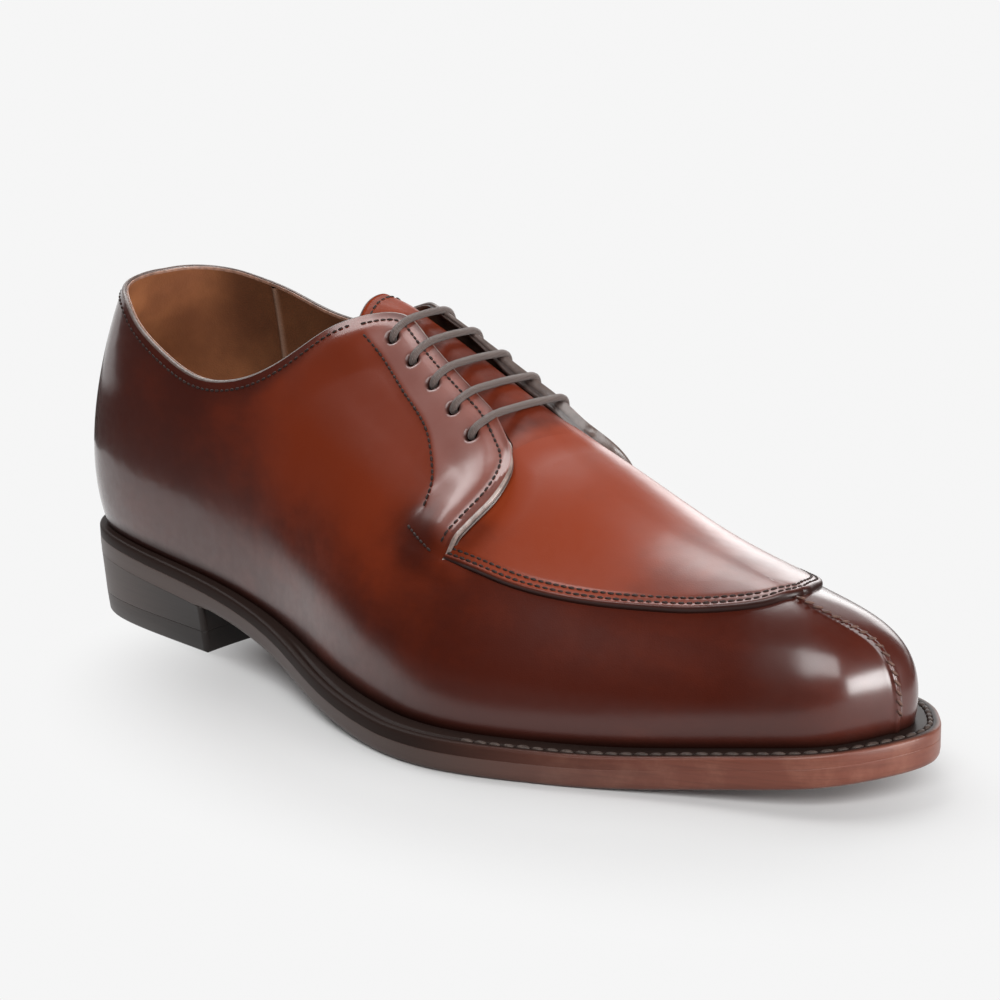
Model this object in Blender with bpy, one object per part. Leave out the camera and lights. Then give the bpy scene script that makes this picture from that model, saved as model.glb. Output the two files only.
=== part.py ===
"""A man's split-toe derby dress shoe for the right foot.

Built as a shoemaker builds it: a hollow leather upper closed over a last, a tongue and five lace bars,
an insole, a welt strip, a leather outsole and a stacked heel with a rubber top lift.
Tables are in millimetres. X runs from the heel to the toe, -Y is the outer side of the foot, Z is up.
"""
from collections import namedtuple

import bmesh
import bpy
import numpy as np

MM = 0.001

# Sole and heel
OUTSOLE_THICK = 5.2
WELT_THICK = 3.4
INSOLE_THICK = 5.2
TOP_LIFT_THICK = 6.5
HEEL_BREAST_X = 79.0
HEEL_TAPER = 1.6
BREAST_HOLLOW = 3.0
TOUCH_GAP = 0.3

# Leather of the upper: rises are steps above the last, fades the lengths over which a step dies out
SIDE_WALL = 2.0
APRON_RISE = 1.4
APRON_WALL = 2.6
SEAM_FADE = 8.0
TOE_SEAM_RISE = 0.9
TOE_SEAM_HALF_WIDTH = 1.7
FACING_RISE = 3.6
FACING_FLAT = 6.0
FACING_FADE = 16.0
FACING_FOOT_FADE = 11.0
FACING_JOIN = 10.0
FACING_FOOT_SHARE = 0.22
FACING_LIFT_SHARE = 0.3
FACING_START = 4.5
FACING_START_RUN = 1.1
EDGE_LIFT = 1.8
EDGE_LIFT_DEPTH = 14.0
EDGE_LIFT_END_RUN = 0.15

# Tongue and lace
TONGUE_WALL = 1.8
TONGUE_WING = 13.0
TONGUE_SINK = 1.4
TONGUE_DROP = 0.3
TONGUE_TOP = 5.2
TONGUE_ROUND = 0.35
TONGUE_END_GAP = 0.02
TONGUE_NARROWS = 7.1
TONGUE_NARROW_RUN = 0.5
TONGUE_CLEAR_LEVEL = 0.016
TONGUE_CLEAR_FROM = 6.9
TONGUE_CLEAR_RUN = 0.3
TONGUE_BARE_SHARE = 1.5
LACE_RADIUS = 1.25
LACE_ARCH = 2.2
LACE_LEVEL_STEP = 0.09
LACE_LEVEL_MAX = 0.93
LACE_SEAT_SHARE = 0.86

# Mesh density: columns along each side, rows up the wall
REAR_COLUMNS = 24
FRONT_COLUMNS = 20
SIDE_ROWS = 7
FACING_ROWS = 5
APRON_TOP_ROWS = 3
TONGUE_COLUMNS = 14
TONGUE_ROWS = 6
HEEL_SIDE_POINTS = 15
BREAST_POINTS = 7
LACE_POINTS = 15
CURVE_STEPS = 40

# The last, a row for each section from the heel seam to the toe seam. The edge is the welt's outer edge,
# the inset runs from it to the upper's lower rim, and the ridge is the section's top, near the middle plane.
# Lean is the wall's outward lean, wall its upright share of the height, crown its flat share of the top.
Section = namedtuple("Section", "x_edge y_lateral y_medial inset x_ridge y_ridge z_ridge lean wall crown")
SECTIONS = [
    Section(0.0, 0.0, 0.0, 2.4, 47.0, 0.0, 140.0, 0.48, 0.34, 0.08),
    Section(4.5, 15.5, 15.5, 2.4, 47.0, 0.0, 140.0, 0.44, 0.34, 0.20),
    Section(22.0, 28.5, 28.5, 2.6, 49.0, 0.0, 139.0, 0.27, 0.35, 0.60),
    Section(55.0, 34.0, 32.5, 3.0, 62.0, 0.0, 133.0, 0.10, 0.36, 0.80),
    Section(90.0, 37.0, 28.5, 3.5, 90.0, 0.0, 120.0, 0.10, 0.38, 0.66),
    Section(120.0, 42.5, 27.0, 4.5, 120.0, 0.0, 108.0, 0.10, 0.40, 0.54),
    Section(148.0, 52.3, 30.0, 6.0, 152.0, 0.0, 94.5, 0.11, 0.41, 0.55),
    Section(174.0, 59.6, 36.0, 7.0, 188.0, 0.0, 77.0, 0.11, 0.43, 0.57),
    Section(202.0, 61.5, 43.5, 7.5, 212.0, 0.0, 65.9, 0.11, 0.44, 0.55),
    Section(232.0, 50.8, 47.0, 7.5, 234.0, 0.0, 55.2, 0.12, 0.47, 0.55),
    Section(262.0, 36.5, 42.0, 7.5, 250.0, -1.8, 50.3, 0.12, 0.51, 0.58),
    Section(285.7, 26.0, 31.8, 7.0, 259.0, -3.5, 48.3, 0.14, 0.58, 0.62),
    Section(298.2, 14.0, 19.6, 6.2, 263.5, -4.5, 47.4, 0.20, 0.65, 0.68),
    Section(304.6, -5.2, 5.2, 6.9, 264.0, -4.8, 47.3, 0.13, 0.66, 0.69),
]
TOE = len(SECTIONS) - 1
HEEL_SECTIONS = 3
RIDGE_STILL = 1.5

# Height of the outsole's lower face along the shoe: heel seat, arch, flat tread and toe spring.
SoleRow = namedtuple("SoleRow", "x height")
SOLE_PROFILE = [
    SoleRow(-6.0, 20.6), SoleRow(25.0, 18.6), SoleRow(50.0, 16.6), SoleRow(78.0, 14.2),
    SoleRow(105.0, 10.4), SoleRow(130.0, 5.9), SoleRow(155.0, 2.2), SoleRow(180.0, 0.2),
    SoleRow(202.0, -0.1), SoleRow(228.0, -0.1), SoleRow(250.0, 0.8), SoleRow(275.0, 3.7),
    SoleRow(295.0, 6.0), SoleRow(312.0, 7.9),
]

# Seam lines on the last: station counts sections from the heel, level runs from rim 0 to ridge 1.
TopRow = namedtuple("TopRow", "station lateral medial")
TOPLINE = [
    TopRow(0.0, 0.558, 0.558), TopRow(1.0, 0.553, 0.560), TopRow(2.0, 0.528, 0.554),
    TopRow(2.5, 0.482, 0.543), TopRow(3.0, 0.441, 0.537), TopRow(3.5, 0.430, 0.548),
    TopRow(4.0, 0.475, 0.585), TopRow(4.5, 0.575, 0.645), TopRow(5.0, 0.732, 0.745),
    TopRow(5.35, 0.835, 0.835), TopRow(5.55, 0.895, 0.895), TopRow(5.75, 0.921, 0.921),
    TopRow(6.1, 0.896, 0.896), TopRow(6.63, 0.869, 0.869), TopRow(7.0, 0.855, 0.855),
    TopRow(7.27, 0.829, 0.829), TopRow(7.5, 0.802, 0.802),
]
SeamRow = namedtuple("SeamRow", "station level")
APRON_SEAM = [
    SeamRow(0.0, 0.26), SeamRow(2.0, 0.26), SeamRow(4.0, 0.30), SeamRow(6.0, 0.38),
    SeamRow(7.5, 0.455), SeamRow(8.2, 0.471), SeamRow(8.7, 0.490), SeamRow(9.2, 0.523),
    SeamRow(9.6, 0.553), SeamRow(10.0, 0.588), SeamRow(10.7, 0.682), SeamRow(11.4, 0.785),
    SeamRow(12.1, 0.838), SeamRow(13.0, 0.858),
]
THROAT = 7.5
# How far the facing's front edge swings forward or back of the throat station, up its height.
FlareRow = namedtuple("FlareRow", "share swing")
FLARE = [
    FlareRow(0.0, 0.0), FlareRow(0.34, 0.17), FlareRow(0.61, 0.13), FlareRow(0.86, -0.03),
    FlareRow(1.0, -0.25),
]
FLARE_REACH = 2.5
# Millimetres in one station at the throat and at the toe, and up one whole section.
STATION_PITCH = 27.0
TOE_PITCH = 19.0
RIB_LENGTH = 110.0

# Five eyelets on each facing, top to bottom.
EYELETS = [
    SeamRow(5.70, 0.822), SeamRow(6.0, 0.806), SeamRow(6.29, 0.792), SeamRow(6.58, 0.777),
    SeamRow(6.88, 0.758),
]

# Edge shapes of the plates from the bottom up: inset from the outline, share of the thickness.
EdgeRow = namedtuple("EdgeRow", "inset share")
OUTSOLE_EDGE = [
    EdgeRow(1.1, 0.0), EdgeRow(0.2, 0.18), EdgeRow(0.0, 0.5), EdgeRow(0.0, 0.9), EdgeRow(0.25, 1.0),
]
WELT_EDGE = [EdgeRow(0.25, 0.0), EdgeRow(0.0, 0.15), EdgeRow(0.1, 0.75), EdgeRow(0.9, 1.0)]
INSOLE_EDGE = [EdgeRow(0.0, 0.0), EdgeRow(0.0, 0.85), EdgeRow(1.0, 1.0)]
STACK_TOP_INSET = 0.2
LIFT_TOP_INSET = 0.96

# Finishes, one for each material
Finish = namedtuple("Finish", "name colour roughness")
EDGE_BROWN = Finish("edge_brown", (0.16, 0.055, 0.035), 0.4)
WELT_BROWN = Finish("welt_brown", (0.07, 0.03, 0.022), 0.45)
HEEL_DARK = Finish("heel_stack_dark", (0.035, 0.022, 0.02), 0.4)
LIFT_BLACK = Finish("top_lift_rubber", (0.012, 0.012, 0.013), 0.6)
INSOLE_TAN = Finish("insole_tan", (0.42, 0.24, 0.13), 0.6)
CHESTNUT = Finish("chestnut_calf", (0.24, 0.062, 0.028), 0.25)
TONGUE_CALF = Finish("tongue_calf", (0.26, 0.075, 0.035), 0.3)
WAXED_LACE = Finish("waxed_lace", (0.075, 0.045, 0.035), 0.6)


# Curves through the tables

def smooth(t):
    """Ease from 0 to 1."""
    t = np.clip(t, 0.0, 1.0)
    return t * t * (3.0 - 2.0 * t)


def spline_tangents(points, closed):
    """Tangents of the cubic spline with even curvature through the points."""
    count = len(points)
    system = np.zeros((count, count))
    target = np.zeros_like(points)
    for i in range(count):
        before = (i - 1) % count
        after = (i + 1) % count
        if not closed and i == 0:
            before = i
        if not closed and i == count - 1:
            after = i
        system[i, i] = 4.0 if before != i and after != i else 2.0
        if before != i:
            system[i, before] += 1.0
        if after != i:
            system[i, after] += 1.0
        target[i] = 3.0 * (points[after] - points[before])
    return np.linalg.solve(system, target)


def spline_at(points, tangents, where, closed):
    """Points of the spline at places counted in table rows."""
    where = np.asarray(where, float)
    count = len(points)
    first = np.floor(where).astype(int)
    if not closed:
        first = np.clip(first, 0, count - 2)
    t = (where - first)[..., None]
    start = first % count
    end = (first + 1) % count
    return ((1 + 2 * t) * (1 - t) ** 2 * points[start] + t * (1 - t) ** 2 * tangents[start]
            + t * t * (3 - 2 * t) * points[end] + t * t * (t - 1) * tangents[end])


def table_curve(rows, x):
    """Second column of a table as a smooth function of its first column."""
    points = np.array(rows, float)
    tangents = spline_tangents(points, False)
    fine = spline_at(points, tangents, np.linspace(0, len(points) - 1, CURVE_STEPS * len(points)), False)
    return np.interp(x, fine[:, 0], fine[:, 1])


def top_level(side, station):
    """Level of the topline, facing top and facing front edge on one side."""
    column = TopRow._fields.index("lateral" if side < 0 else "medial")
    return table_curve([(row.station, row[column]) for row in TOPLINE], station)


def sole_low(x):
    """Height of the outsole's lower face, flat on the floor under the tread."""
    return np.maximum(table_curve(SOLE_PROFILE, x), 0.0)


def welt_top(x):
    return sole_low(x) + OUTSOLE_THICK + WELT_THICK


# The last's surface

def closed_loop(lateral, medial):
    """Rows from the heel along the lateral side to the toe, and back along the medial side."""
    return np.vstack([lateral, medial[-2:0:-1]])


def last_curves():
    """The edge loop and the four control curves that carry every section."""
    rows = np.array(SECTIONS, float)
    lateral = rows.copy()
    lateral[:, 1] = -rows[:, 1]
    medial = rows.copy()
    medial[:, 1] = rows[:, 2]
    loop = closed_loop(lateral, medial)
    edge = loop[:, :2]
    run = spline_tangents(edge, True)
    out = np.column_stack([run[:, 1], -run[:, 0]])
    out = out / np.linalg.norm(out, axis=1)[:, None]
    inset, x_ridge, y_ridge, z_ridge, lean, wall, crown = loop[:, 3:].T
    rim_xy = edge - out * inset[:, None]
    rim_z = welt_top(rim_xy[:, 0]) + TOUCH_GAP
    rim = np.column_stack([rim_xy, rim_z])
    ridge = np.column_stack([x_ridge, y_ridge, z_ridge])
    reach = rim_xy - ridge[:, :2]
    spread = np.linalg.norm(reach, axis=1)
    away = reach / spread[:, None]
    ridge_run = spline_tangents(ridge, True)
    slope = np.zeros(len(loop))
    moving = np.abs(ridge_run[:, 0]) > RIDGE_STILL
    slope[moving] = ridge_run[moving, 2] / ridge_run[moving, 0]
    last_moving = max(i for i in range(TOE) if moving[i])
    slope[last_moving + 1:2 * TOE - last_moving] = slope[last_moving]
    slope[:HEEL_SECTIONS] = 0.0
    slope[1 - HEEL_SECTIONS:] = 0.0
    rise = (z_ridge - rim_z) * wall
    wall_handle = rim + np.column_stack([away * (lean * rise)[:, None], rise])
    flat = (crown * spread)[:, None]
    crown_handle = ridge + np.column_stack([away * flat, slope * crown * spread * away[:, 0]])
    curves = [(c, spline_tangents(c, True)) for c in (rim, wall_handle, crown_handle, ridge)]
    return (edge, run), curves


EDGE, CURVES = last_curves()


def loop_place(side, station):
    """Place on the closed loop: side -1 is lateral, +1 medial."""
    station = np.asarray(station, float)
    return station if side < 0 else 2 * TOE - station


def last_at(side, station, level):
    """Point of the last's surface, where the leather's outer face lies."""
    level = np.asarray(level, float)[..., None]
    place = loop_place(side, station)
    rim, wall_handle, crown_handle, ridge = [spline_at(c, d, place, True) for c, d in CURVES]
    return ((1 - level) ** 3 * rim + 3 * level * (1 - level) ** 2 * wall_handle
            + 3 * level ** 2 * (1 - level) * crown_handle + level ** 3 * ridge)


def skin(side, station, level, offset):
    """Point at an offset outward from the last's surface."""
    step = 0.001
    inner_level = np.clip(level, step, 1 - 3 * step)
    along = last_at(side, station + step, inner_level) - last_at(side, station - step, inner_level)
    across = last_at(side, station, inner_level + step) - last_at(side, station, inner_level - step)
    normal = np.cross(along, across) * -side
    normal[level > 1 - step, 1] = 0.0
    normal = normal / np.linalg.norm(normal, axis=-1, keepdims=True)
    return last_at(side, station, level) + normal * np.asarray(offset)[..., None]


# Seams and steps of the upper

def swing(station, share):
    """Station with the facing's flared front edge taken in."""
    fade = smooth(1.0 - np.abs(station - THROAT) / FLARE_REACH)
    return station + table_curve(FLARE, np.clip(share, 0, 1)) * fade


def facing_rise(station, share, depth_top):
    """Height of the facing over the last at a share of the way from seam line to front edge."""
    ahead = (THROAT - station) * STATION_PITCH
    begun = smooth((station - FACING_START) / FACING_START_RUN)
    band = smooth(1 - (depth_top - FACING_FLAT) / FACING_FADE) * begun
    flare = smooth(1 - (ahead - FACING_FLAT) / FACING_FADE)
    height = APRON_RISE + (FACING_RISE - APRON_RISE) * smooth(share / FACING_FOOT_SHARE)
    return height * (1 - (1 - band) * (1 - flare))


def edge_lift(side, station, depth_top):
    """The inner side's facing stands off the tongue along its front edge."""
    begun = smooth((station - FACING_START) / FACING_START_RUN)
    ended = smooth((THROAT - station) / EDGE_LIFT_END_RUN)
    height = EDGE_LIFT if side > 0 else 0.0
    return height * smooth(1 - depth_top / EDGE_LIFT_DEPTH) * begun * ended


def low_side_rise(station, depth):
    """The facing's foot fades out below the throat corner and ahead of it."""
    away = (THROAT - station) * STATION_PITCH
    behind = smooth(1 - (away - FACING_FLAT) / FACING_FADE)
    ahead = smooth(1 + away / FACING_FOOT_FADE)
    return APRON_RISE * np.where(away > 0, behind, ahead) * smooth(1 - depth / SEAM_FADE)


def toe_seam_rise(station):
    """Ridge of the seam that joins the two side pieces down the middle of the toe."""
    return TOE_SEAM_RISE * smooth(1 - (TOE - station) * TOE_PITCH / TOE_SEAM_HALF_WIDTH)


def apron_inner(depth):
    return -SIDE_WALL + (SIDE_WALL + APRON_RISE - APRON_WALL) * smooth(depth / SEAM_FADE)


def side_patch(side, stations):
    """Outer and inner faces from the rim up to the seam line."""
    share = np.linspace(0, 1, SIDE_ROWS + 1)
    station = np.repeat(stations[:, None], len(share), 1)
    seam = table_curve(APRON_SEAM, station)
    level = seam * share
    rise = low_side_rise(station, (seam - level) * RIB_LENGTH) + toe_seam_rise(station)
    outer = skin(side, station, level, rise)
    inner = skin(side, station, level, np.full_like(rise, -SIDE_WALL))
    return outer, inner


def facing_patch(side, stations):
    """Outer and inner faces of the quarter and facing, from the seam line to topline and front edge."""
    share = np.linspace(0, 1, FACING_ROWS + 1)
    station = np.repeat(stations[:, None], len(share), 1)
    share = np.repeat(share[None, :], len(stations), 0)
    seam = table_curve(APRON_SEAM, station)
    top = top_level(side, station)
    level = seam + share * (top - seam)
    depth_top = (top - level) * RIB_LENGTH
    rise = facing_rise(station, share, depth_top) + edge_lift(side, station, depth_top)
    joined = smooth(1 - (THROAT - station) * STATION_PITCH / FACING_JOIN)
    depth = (level - seam) * RIB_LENGTH
    lifted = rise * smooth(share / FACING_LIFT_SHARE)
    inner_offset = -SIDE_WALL + lifted * (1 - joined) + (apron_inner(depth) + SIDE_WALL) * joined
    place = swing(station, share)
    return skin(side, place, level, rise), skin(side, place, level, inner_offset)


def apron_patch(side, stations):
    """Outer and inner faces of the apron, from its seam over to the ridge."""
    seam = table_curve(APRON_SEAM, stations)[:, None]
    throat_seam = table_curve(APRON_SEAM, THROAT)
    throat_share = (top_level(side, THROAT) - throat_seam) / (1 - throat_seam)
    low_shares = np.linspace(0, 1, FACING_ROWS + 1)
    high_shares = np.linspace(1, 2, APRON_TOP_ROWS + 1)
    shares = np.concatenate([low_shares, high_shares[1:]])
    climb = np.where(shares < 1, shares * throat_share, throat_share + (shares - 1) * (1 - throat_share))
    station = np.repeat(stations[:, None], len(shares), 1)
    level = np.minimum(seam + climb[None, :] * (1 - seam), 1.0)
    place = swing(station, np.repeat(shares[None, :], len(stations), 0))
    outer = skin(side, place, level, np.full_like(level, APRON_RISE))
    inner = skin(side, place, level, apron_inner((level - seam) * RIB_LENGTH))
    return outer, inner


# Mesh building

class Solid:
    """Collects faces by their corner points and welds them into one closed mesh."""

    def __init__(self):
        self.points = []
        self.faces = []
        self.known = {}

    def corner(self, point):
        key = tuple(np.round(np.asarray(point, float), 4))
        if key not in self.known:
            self.known[key] = len(self.points)
            self.points.append(key)
        return self.known[key]

    def face(self, corners):
        ring = []
        for point in corners:
            index = self.corner(point)
            if index not in ring:
                ring.append(index)
        if len(ring) > 2:
            self.faces.append(ring)

    def grid(self, rows):
        """Quads over a grid of points."""
        for a, b in zip(rows[:-1], rows[1:]):
            for k in range(len(a) - 1):
                self.face([a[k], b[k], b[k + 1], a[k + 1]])

    def strip(self, line_a, line_b):
        self.grid(np.stack([np.asarray(line_a), np.asarray(line_b)], 1))


PART_COLLECTION = "split_toe_derby"


def clear_scene():
    for obj in list(bpy.data.objects):
        bpy.data.objects.remove(obj, do_unlink=True)
    for collection in list(bpy.data.collections):
        bpy.data.collections.remove(collection)
    collection = bpy.data.collections.new(PART_COLLECTION)
    bpy.context.scene.collection.children.link(collection)


def finish_material(finish):
    material = bpy.data.materials.new(finish.name)
    material.use_nodes = True
    shader = material.node_tree.nodes["Principled BSDF"]
    shader.inputs["Base Color"].default_value = (*finish.colour, 1.0)
    shader.inputs["Roughness"].default_value = finish.roughness
    shader.inputs["Metallic"].default_value = 0.0
    return material


def add_object(name, data, material):
    data.materials.append(material)
    obj = bpy.data.objects.new(name, data)
    bpy.data.collections[PART_COLLECTION].objects.link(obj)
    return obj


def add_solid(name, solid, material):
    """A closed mesh object from collected faces, in metres about the shoe's origin."""
    points = (np.array(solid.points) - ORIGIN) * MM
    builder = bmesh.new()
    corners = [builder.verts.new(p) for p in points]
    for ring in solid.faces:
        builder.faces.new([corners[k] for k in ring])
    bmesh.ops.recalc_face_normals(builder, faces=builder.faces)
    mesh = bpy.data.meshes.new(name)
    builder.to_mesh(mesh)
    builder.free()
    mesh.shade_smooth()
    mesh.set_sharp_from_angle(angle=np.radians(40))
    return add_object(name, mesh, material)


# Outline loops of the sole

def station_columns():
    rear = np.linspace(0, THROAT, REAR_COLUMNS + 1)
    seam_half = TOE_SEAM_HALF_WIDTH / TOE_PITCH
    front = np.linspace(THROAT, TOE - seam_half, FRONT_COLUMNS + 1)
    return np.concatenate([rear, front[1:], [TOE - seam_half / 2, TOE]])


def edge_line(side, stations, inset):
    """Points of the welt's edge line moved inwards."""
    place = loop_place(side, stations)
    points = spline_at(*EDGE, place, True)
    step = 0.01
    run = spline_at(*EDGE, place + step, True) - spline_at(*EDGE, place - step, True)
    out = np.column_stack([run[:, 1], -run[:, 0]])
    out = out / np.linalg.norm(out, axis=1)[:, None]
    return points - out * np.broadcast_to(inset, place.shape)[:, None]


def rim_line(side, stations, inset):
    """Points of the upper's lower rim line moved inwards."""
    place = loop_place(side, stations)
    rim, tangents = CURVES[0]
    points = spline_at(rim, tangents, place, True)[:, :2]
    step = 0.01
    run = spline_at(rim, tangents, place + step, True) - spline_at(rim, tangents, place - step, True)
    out = np.column_stack([run[:, 1], -run[:, 0]])
    out = out / np.linalg.norm(out, axis=1)[:, None]
    return points - out * inset


def at_height(line, height):
    return np.column_stack([line, height])


def plate(low, high, edge_rows, line_of):
    """A closed plate between two height functions, with a shaped edge."""
    columns = station_columns()
    solid = Solid()
    rings = {}
    for side in (-1, 1):
        rings[side] = []
        for row in edge_rows:
            line = line_of(side, columns, row.inset)
            height = low(line[:, 0]) * (1 - row.share) + high(line[:, 0]) * row.share
            rings[side].append(at_height(line, height))
        for lower, upper in zip(rings[side][:-1], rings[side][1:]):
            solid.strip(lower, upper)
    for level in (0, -1):
        solid.strip(rings[-1][level], rings[1][level])
    return solid


def make_outsole():
    solid = plate(sole_low, lambda x: sole_low(x) + OUTSOLE_THICK, OUTSOLE_EDGE, edge_line)
    add_solid("outsole", solid, finish_material(EDGE_BROWN))


def make_welt():
    """A flat strip round the whole shoe, from the sole's edge to under the upper's rim."""
    columns = station_columns()
    solid = Solid()
    for side in (-1, 1):
        rings = []
        for row in WELT_EDGE:
            line = edge_line(side, columns, row.inset)
            height = TOUCH_GAP + (WELT_THICK - TOUCH_GAP) * row.share
            rings.append(at_height(line, sole_low(line[:, 0]) + OUTSOLE_THICK + height))
        inner = rim_line(side, columns, SIDE_WALL + TOUCH_GAP)
        inner_floor = sole_low(inner[:, 0]) + OUTSOLE_THICK
        rings.append(at_height(inner, inner_floor + WELT_THICK))
        rings.append(at_height(inner, inner_floor + TOUCH_GAP))
        rings.append(rings[0])
        for lower, upper in zip(rings[:-1], rings[1:]):
            solid.strip(lower, upper)
    add_solid("welt", solid, finish_material(WELT_BROWN))


def make_insole():
    floor = OUTSOLE_THICK + TOUCH_GAP

    def inside_welt(side, columns, inset):
        return rim_line(side, columns, SIDE_WALL + 2 * TOUCH_GAP + inset)

    solid = plate(lambda x: sole_low(x) + floor, lambda x: sole_low(x) + floor + INSOLE_THICK,
                  INSOLE_EDGE, inside_welt)
    add_solid("insole", solid, finish_material(INSOLE_TAN))


def heel_outline(side, shares, inset):
    """Heel edge from the back to the breast on one side."""
    fine = np.linspace(0, THROAT, CURVE_STEPS * TOE)
    along = edge_line(side, fine, 0.0)
    breast = np.interp(HEEL_BREAST_X, along[:, 0], fine)
    return edge_line(side, shares * breast, inset)


def heel_block(name, low, high, low_inset, high_inset, finish):
    """A slice of the heel between two height functions, with a hollowed breast."""
    shares = np.linspace(0, 1, HEEL_SIDE_POINTS)
    across = np.linspace(-1, 1, BREAST_POINTS)
    solid = Solid()
    loops = []
    for inset, height in ((low_inset, low), (high_inset, high)):
        lateral = heel_outline(-1, shares, inset)
        medial = heel_outline(1, shares, inset)
        hollow = BREAST_HOLLOW * (1 - across ** 2)[1:-1]
        mix = (across[1:-1, None] + 1) / 2
        breast = lateral[-1] * (1 - mix) + medial[-1] * mix
        breast[:, 0] = breast[:, 0] - hollow
        outline = np.vstack([lateral, breast, medial[:0:-1]])
        loops.append(at_height(outline, height(outline[:, 0])))
    lower, upper = loops
    solid.strip(np.vstack([lower, lower[:1]]), np.vstack([upper, upper[:1]]))
    count = len(shares)
    for loop in loops:
        lateral = loop[:count]
        medial = np.vstack([loop[:1], loop[:-count:-1]])
        solid.strip(lateral, medial)
        solid.face([lateral[-1], *loop[count:-count + 1], medial[-1]])
    add_solid(name, solid, finish_material(finish))


def make_heel():
    stack_low = TOP_LIFT_THICK + TOUCH_GAP

    def under_sole(x):
        return sole_low(x) - TOUCH_GAP

    def flat(height):
        return lambda x: np.full_like(x, height)

    heel_block("heel_stack", flat(stack_low), under_sole, LIFT_TOP_INSET, STACK_TOP_INSET, HEEL_DARK)
    heel_block("heel_top_lift", flat(0.0), flat(TOP_LIFT_THICK), HEEL_TAPER, LIFT_TOP_INSET, LIFT_BLACK)


def make_upper():
    """Hollow leather shell, open below, at the collar and at the throat."""
    columns = station_columns()
    rear = columns[:REAR_COLUMNS + 1]
    front = columns[REAR_COLUMNS:]
    patches = {}
    for side in (-1, 1):
        patches[side] = [*side_patch(side, columns), *facing_patch(side, rear), *apron_patch(side, front)]
    for near, far in zip(patches[-1], patches[1]):
        if len(near) != len(front):
            far[0] = near[0]
        if len(near) != len(rear):
            far[-1] = near[-1]
        if len(near) == len(front):
            far[:, -1] = near[:, -1]
    solid = Solid()
    for side in (-1, 1):
        side_out, side_in, rear_out, rear_in, apron_out, apron_in = patches[side]
        for patch in patches[side]:
            solid.grid(patch)
        solid.strip(side_out[:, 0], side_in[:, 0])
        solid.strip(side_out[REAR_COLUMNS:, -1], apron_out[:, 0])
        solid.strip(rear_out[-1], apron_out[0, :FACING_ROWS + 1])
        solid.strip(rear_out[:-1, -1], rear_in[:-1, -1])
        solid.face([rear_out[-2, -1], rear_out[-1, -1], apron_out[0, FACING_ROWS],
                    rear_in[-1, -1], rear_in[-2, -1]])
        solid.strip(apron_out[0, FACING_ROWS:], apron_in[0, FACING_ROWS:])
    add_solid("upper", solid, finish_material(CHESTNUT))


def make_tongue():
    """A leather tongue under the facings, from the throat to just past the top of the facings."""
    shares = np.linspace(0, 1, TONGUE_ROWS + 1)
    top = TONGUE_TOP + TONGUE_ROUND * (1 - shares) ** 2
    run = np.linspace(0, 1, TONGUE_COLUMNS + 1)[:, None]
    station = top * (1 - run) + (THROAT - TONGUE_END_GAP) * run
    edge = top_level(-1, station)
    under = TONGUE_WING / RIB_LENGTH * smooth((TONGUE_NARROWS - station) / TONGUE_NARROW_RUN)
    clear = TONGUE_CLEAR_LEVEL * smooth((station - TONGUE_CLEAR_FROM) / TONGUE_CLEAR_RUN)
    low = edge - under + clear
    level = np.minimum(low + (1 - low) * shares, 1.0)
    seam = table_curve(APRON_SEAM, station)
    share = np.clip((level - seam) / (edge - seam), 0, 1)
    rise = facing_rise(station, share, np.maximum(edge - level, 0) * RIB_LENGTH)
    facing_inner = -SIDE_WALL + rise * smooth(share / FACING_LIFT_SHARE)
    bare = smooth(TONGUE_BARE_SHARE * (level - edge) / (1 - edge))
    outer_offset = facing_inner - TONGUE_SINK * (1 - bare) - TONGUE_DROP * bare
    place = swing(station, share)
    solid = Solid()
    faces = {}
    for side in (-1, 1):
        faces[side] = [skin(side, place, level, outer_offset - depth) for depth in (0.0, TONGUE_WALL)]
    for near, far in zip(faces[-1], faces[1]):
        far[:, -1] = near[:, -1]
    for side in (-1, 1):
        outer, inner = faces[side]
        solid.grid(outer)
        solid.grid(inner)
        solid.strip(outer[:, 0], inner[:, 0])
        solid.strip(outer[0], inner[0])
        solid.strip(outer[-1], inner[-1])
    add_solid("tongue", solid, finish_material(TONGUE_CALF))


def make_lace_bars():
    """Five straight bars of a round waxed lace, laid over the facings from eyelet to eyelet."""
    material = finish_material(WAXED_LACE)
    seat = LACE_RADIUS + TOUCH_GAP
    for number, eyelet in enumerate(EYELETS, 1):
        station = np.full(2, eyelet.station)
        level = np.array([eyelet.level, min(eyelet.level + LACE_LEVEL_STEP, LACE_LEVEL_MAX)])
        offset = np.array([FACING_RISE * LACE_SEAT_SHARE, FACING_RISE]) + seat
        depth_top = (top_level(1, station) - level) * RIB_LENGTH
        lateral = skin(-1, station, level, offset)
        medial = skin(1, station, level, offset + edge_lift(1, station, depth_top))
        middle = (lateral[1] + medial[1]) / 2 + (0, 0, LACE_ARCH)
        knots = np.array([lateral[0], lateral[1], middle, medial[1], medial[0]])
        places = np.linspace(0, len(knots) - 1, LACE_POINTS)
        fine = spline_at(knots, spline_tangents(knots, False), places, False)
        curve = bpy.data.curves.new(f"lace_bar_{number}", "CURVE")
        curve.dimensions = "3D"
        curve.bevel_depth = LACE_RADIUS * MM
        curve.bevel_resolution = 2
        curve.use_fill_caps = True
        spline = curve.splines.new("POLY")
        spline.points.add(len(fine) - 1)
        for point, place in zip(spline.points, (fine - ORIGIN) * MM):
            point.co = (*place, 1.0)
        add_object(f"lace_bar_{number}", curve, material)


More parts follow.
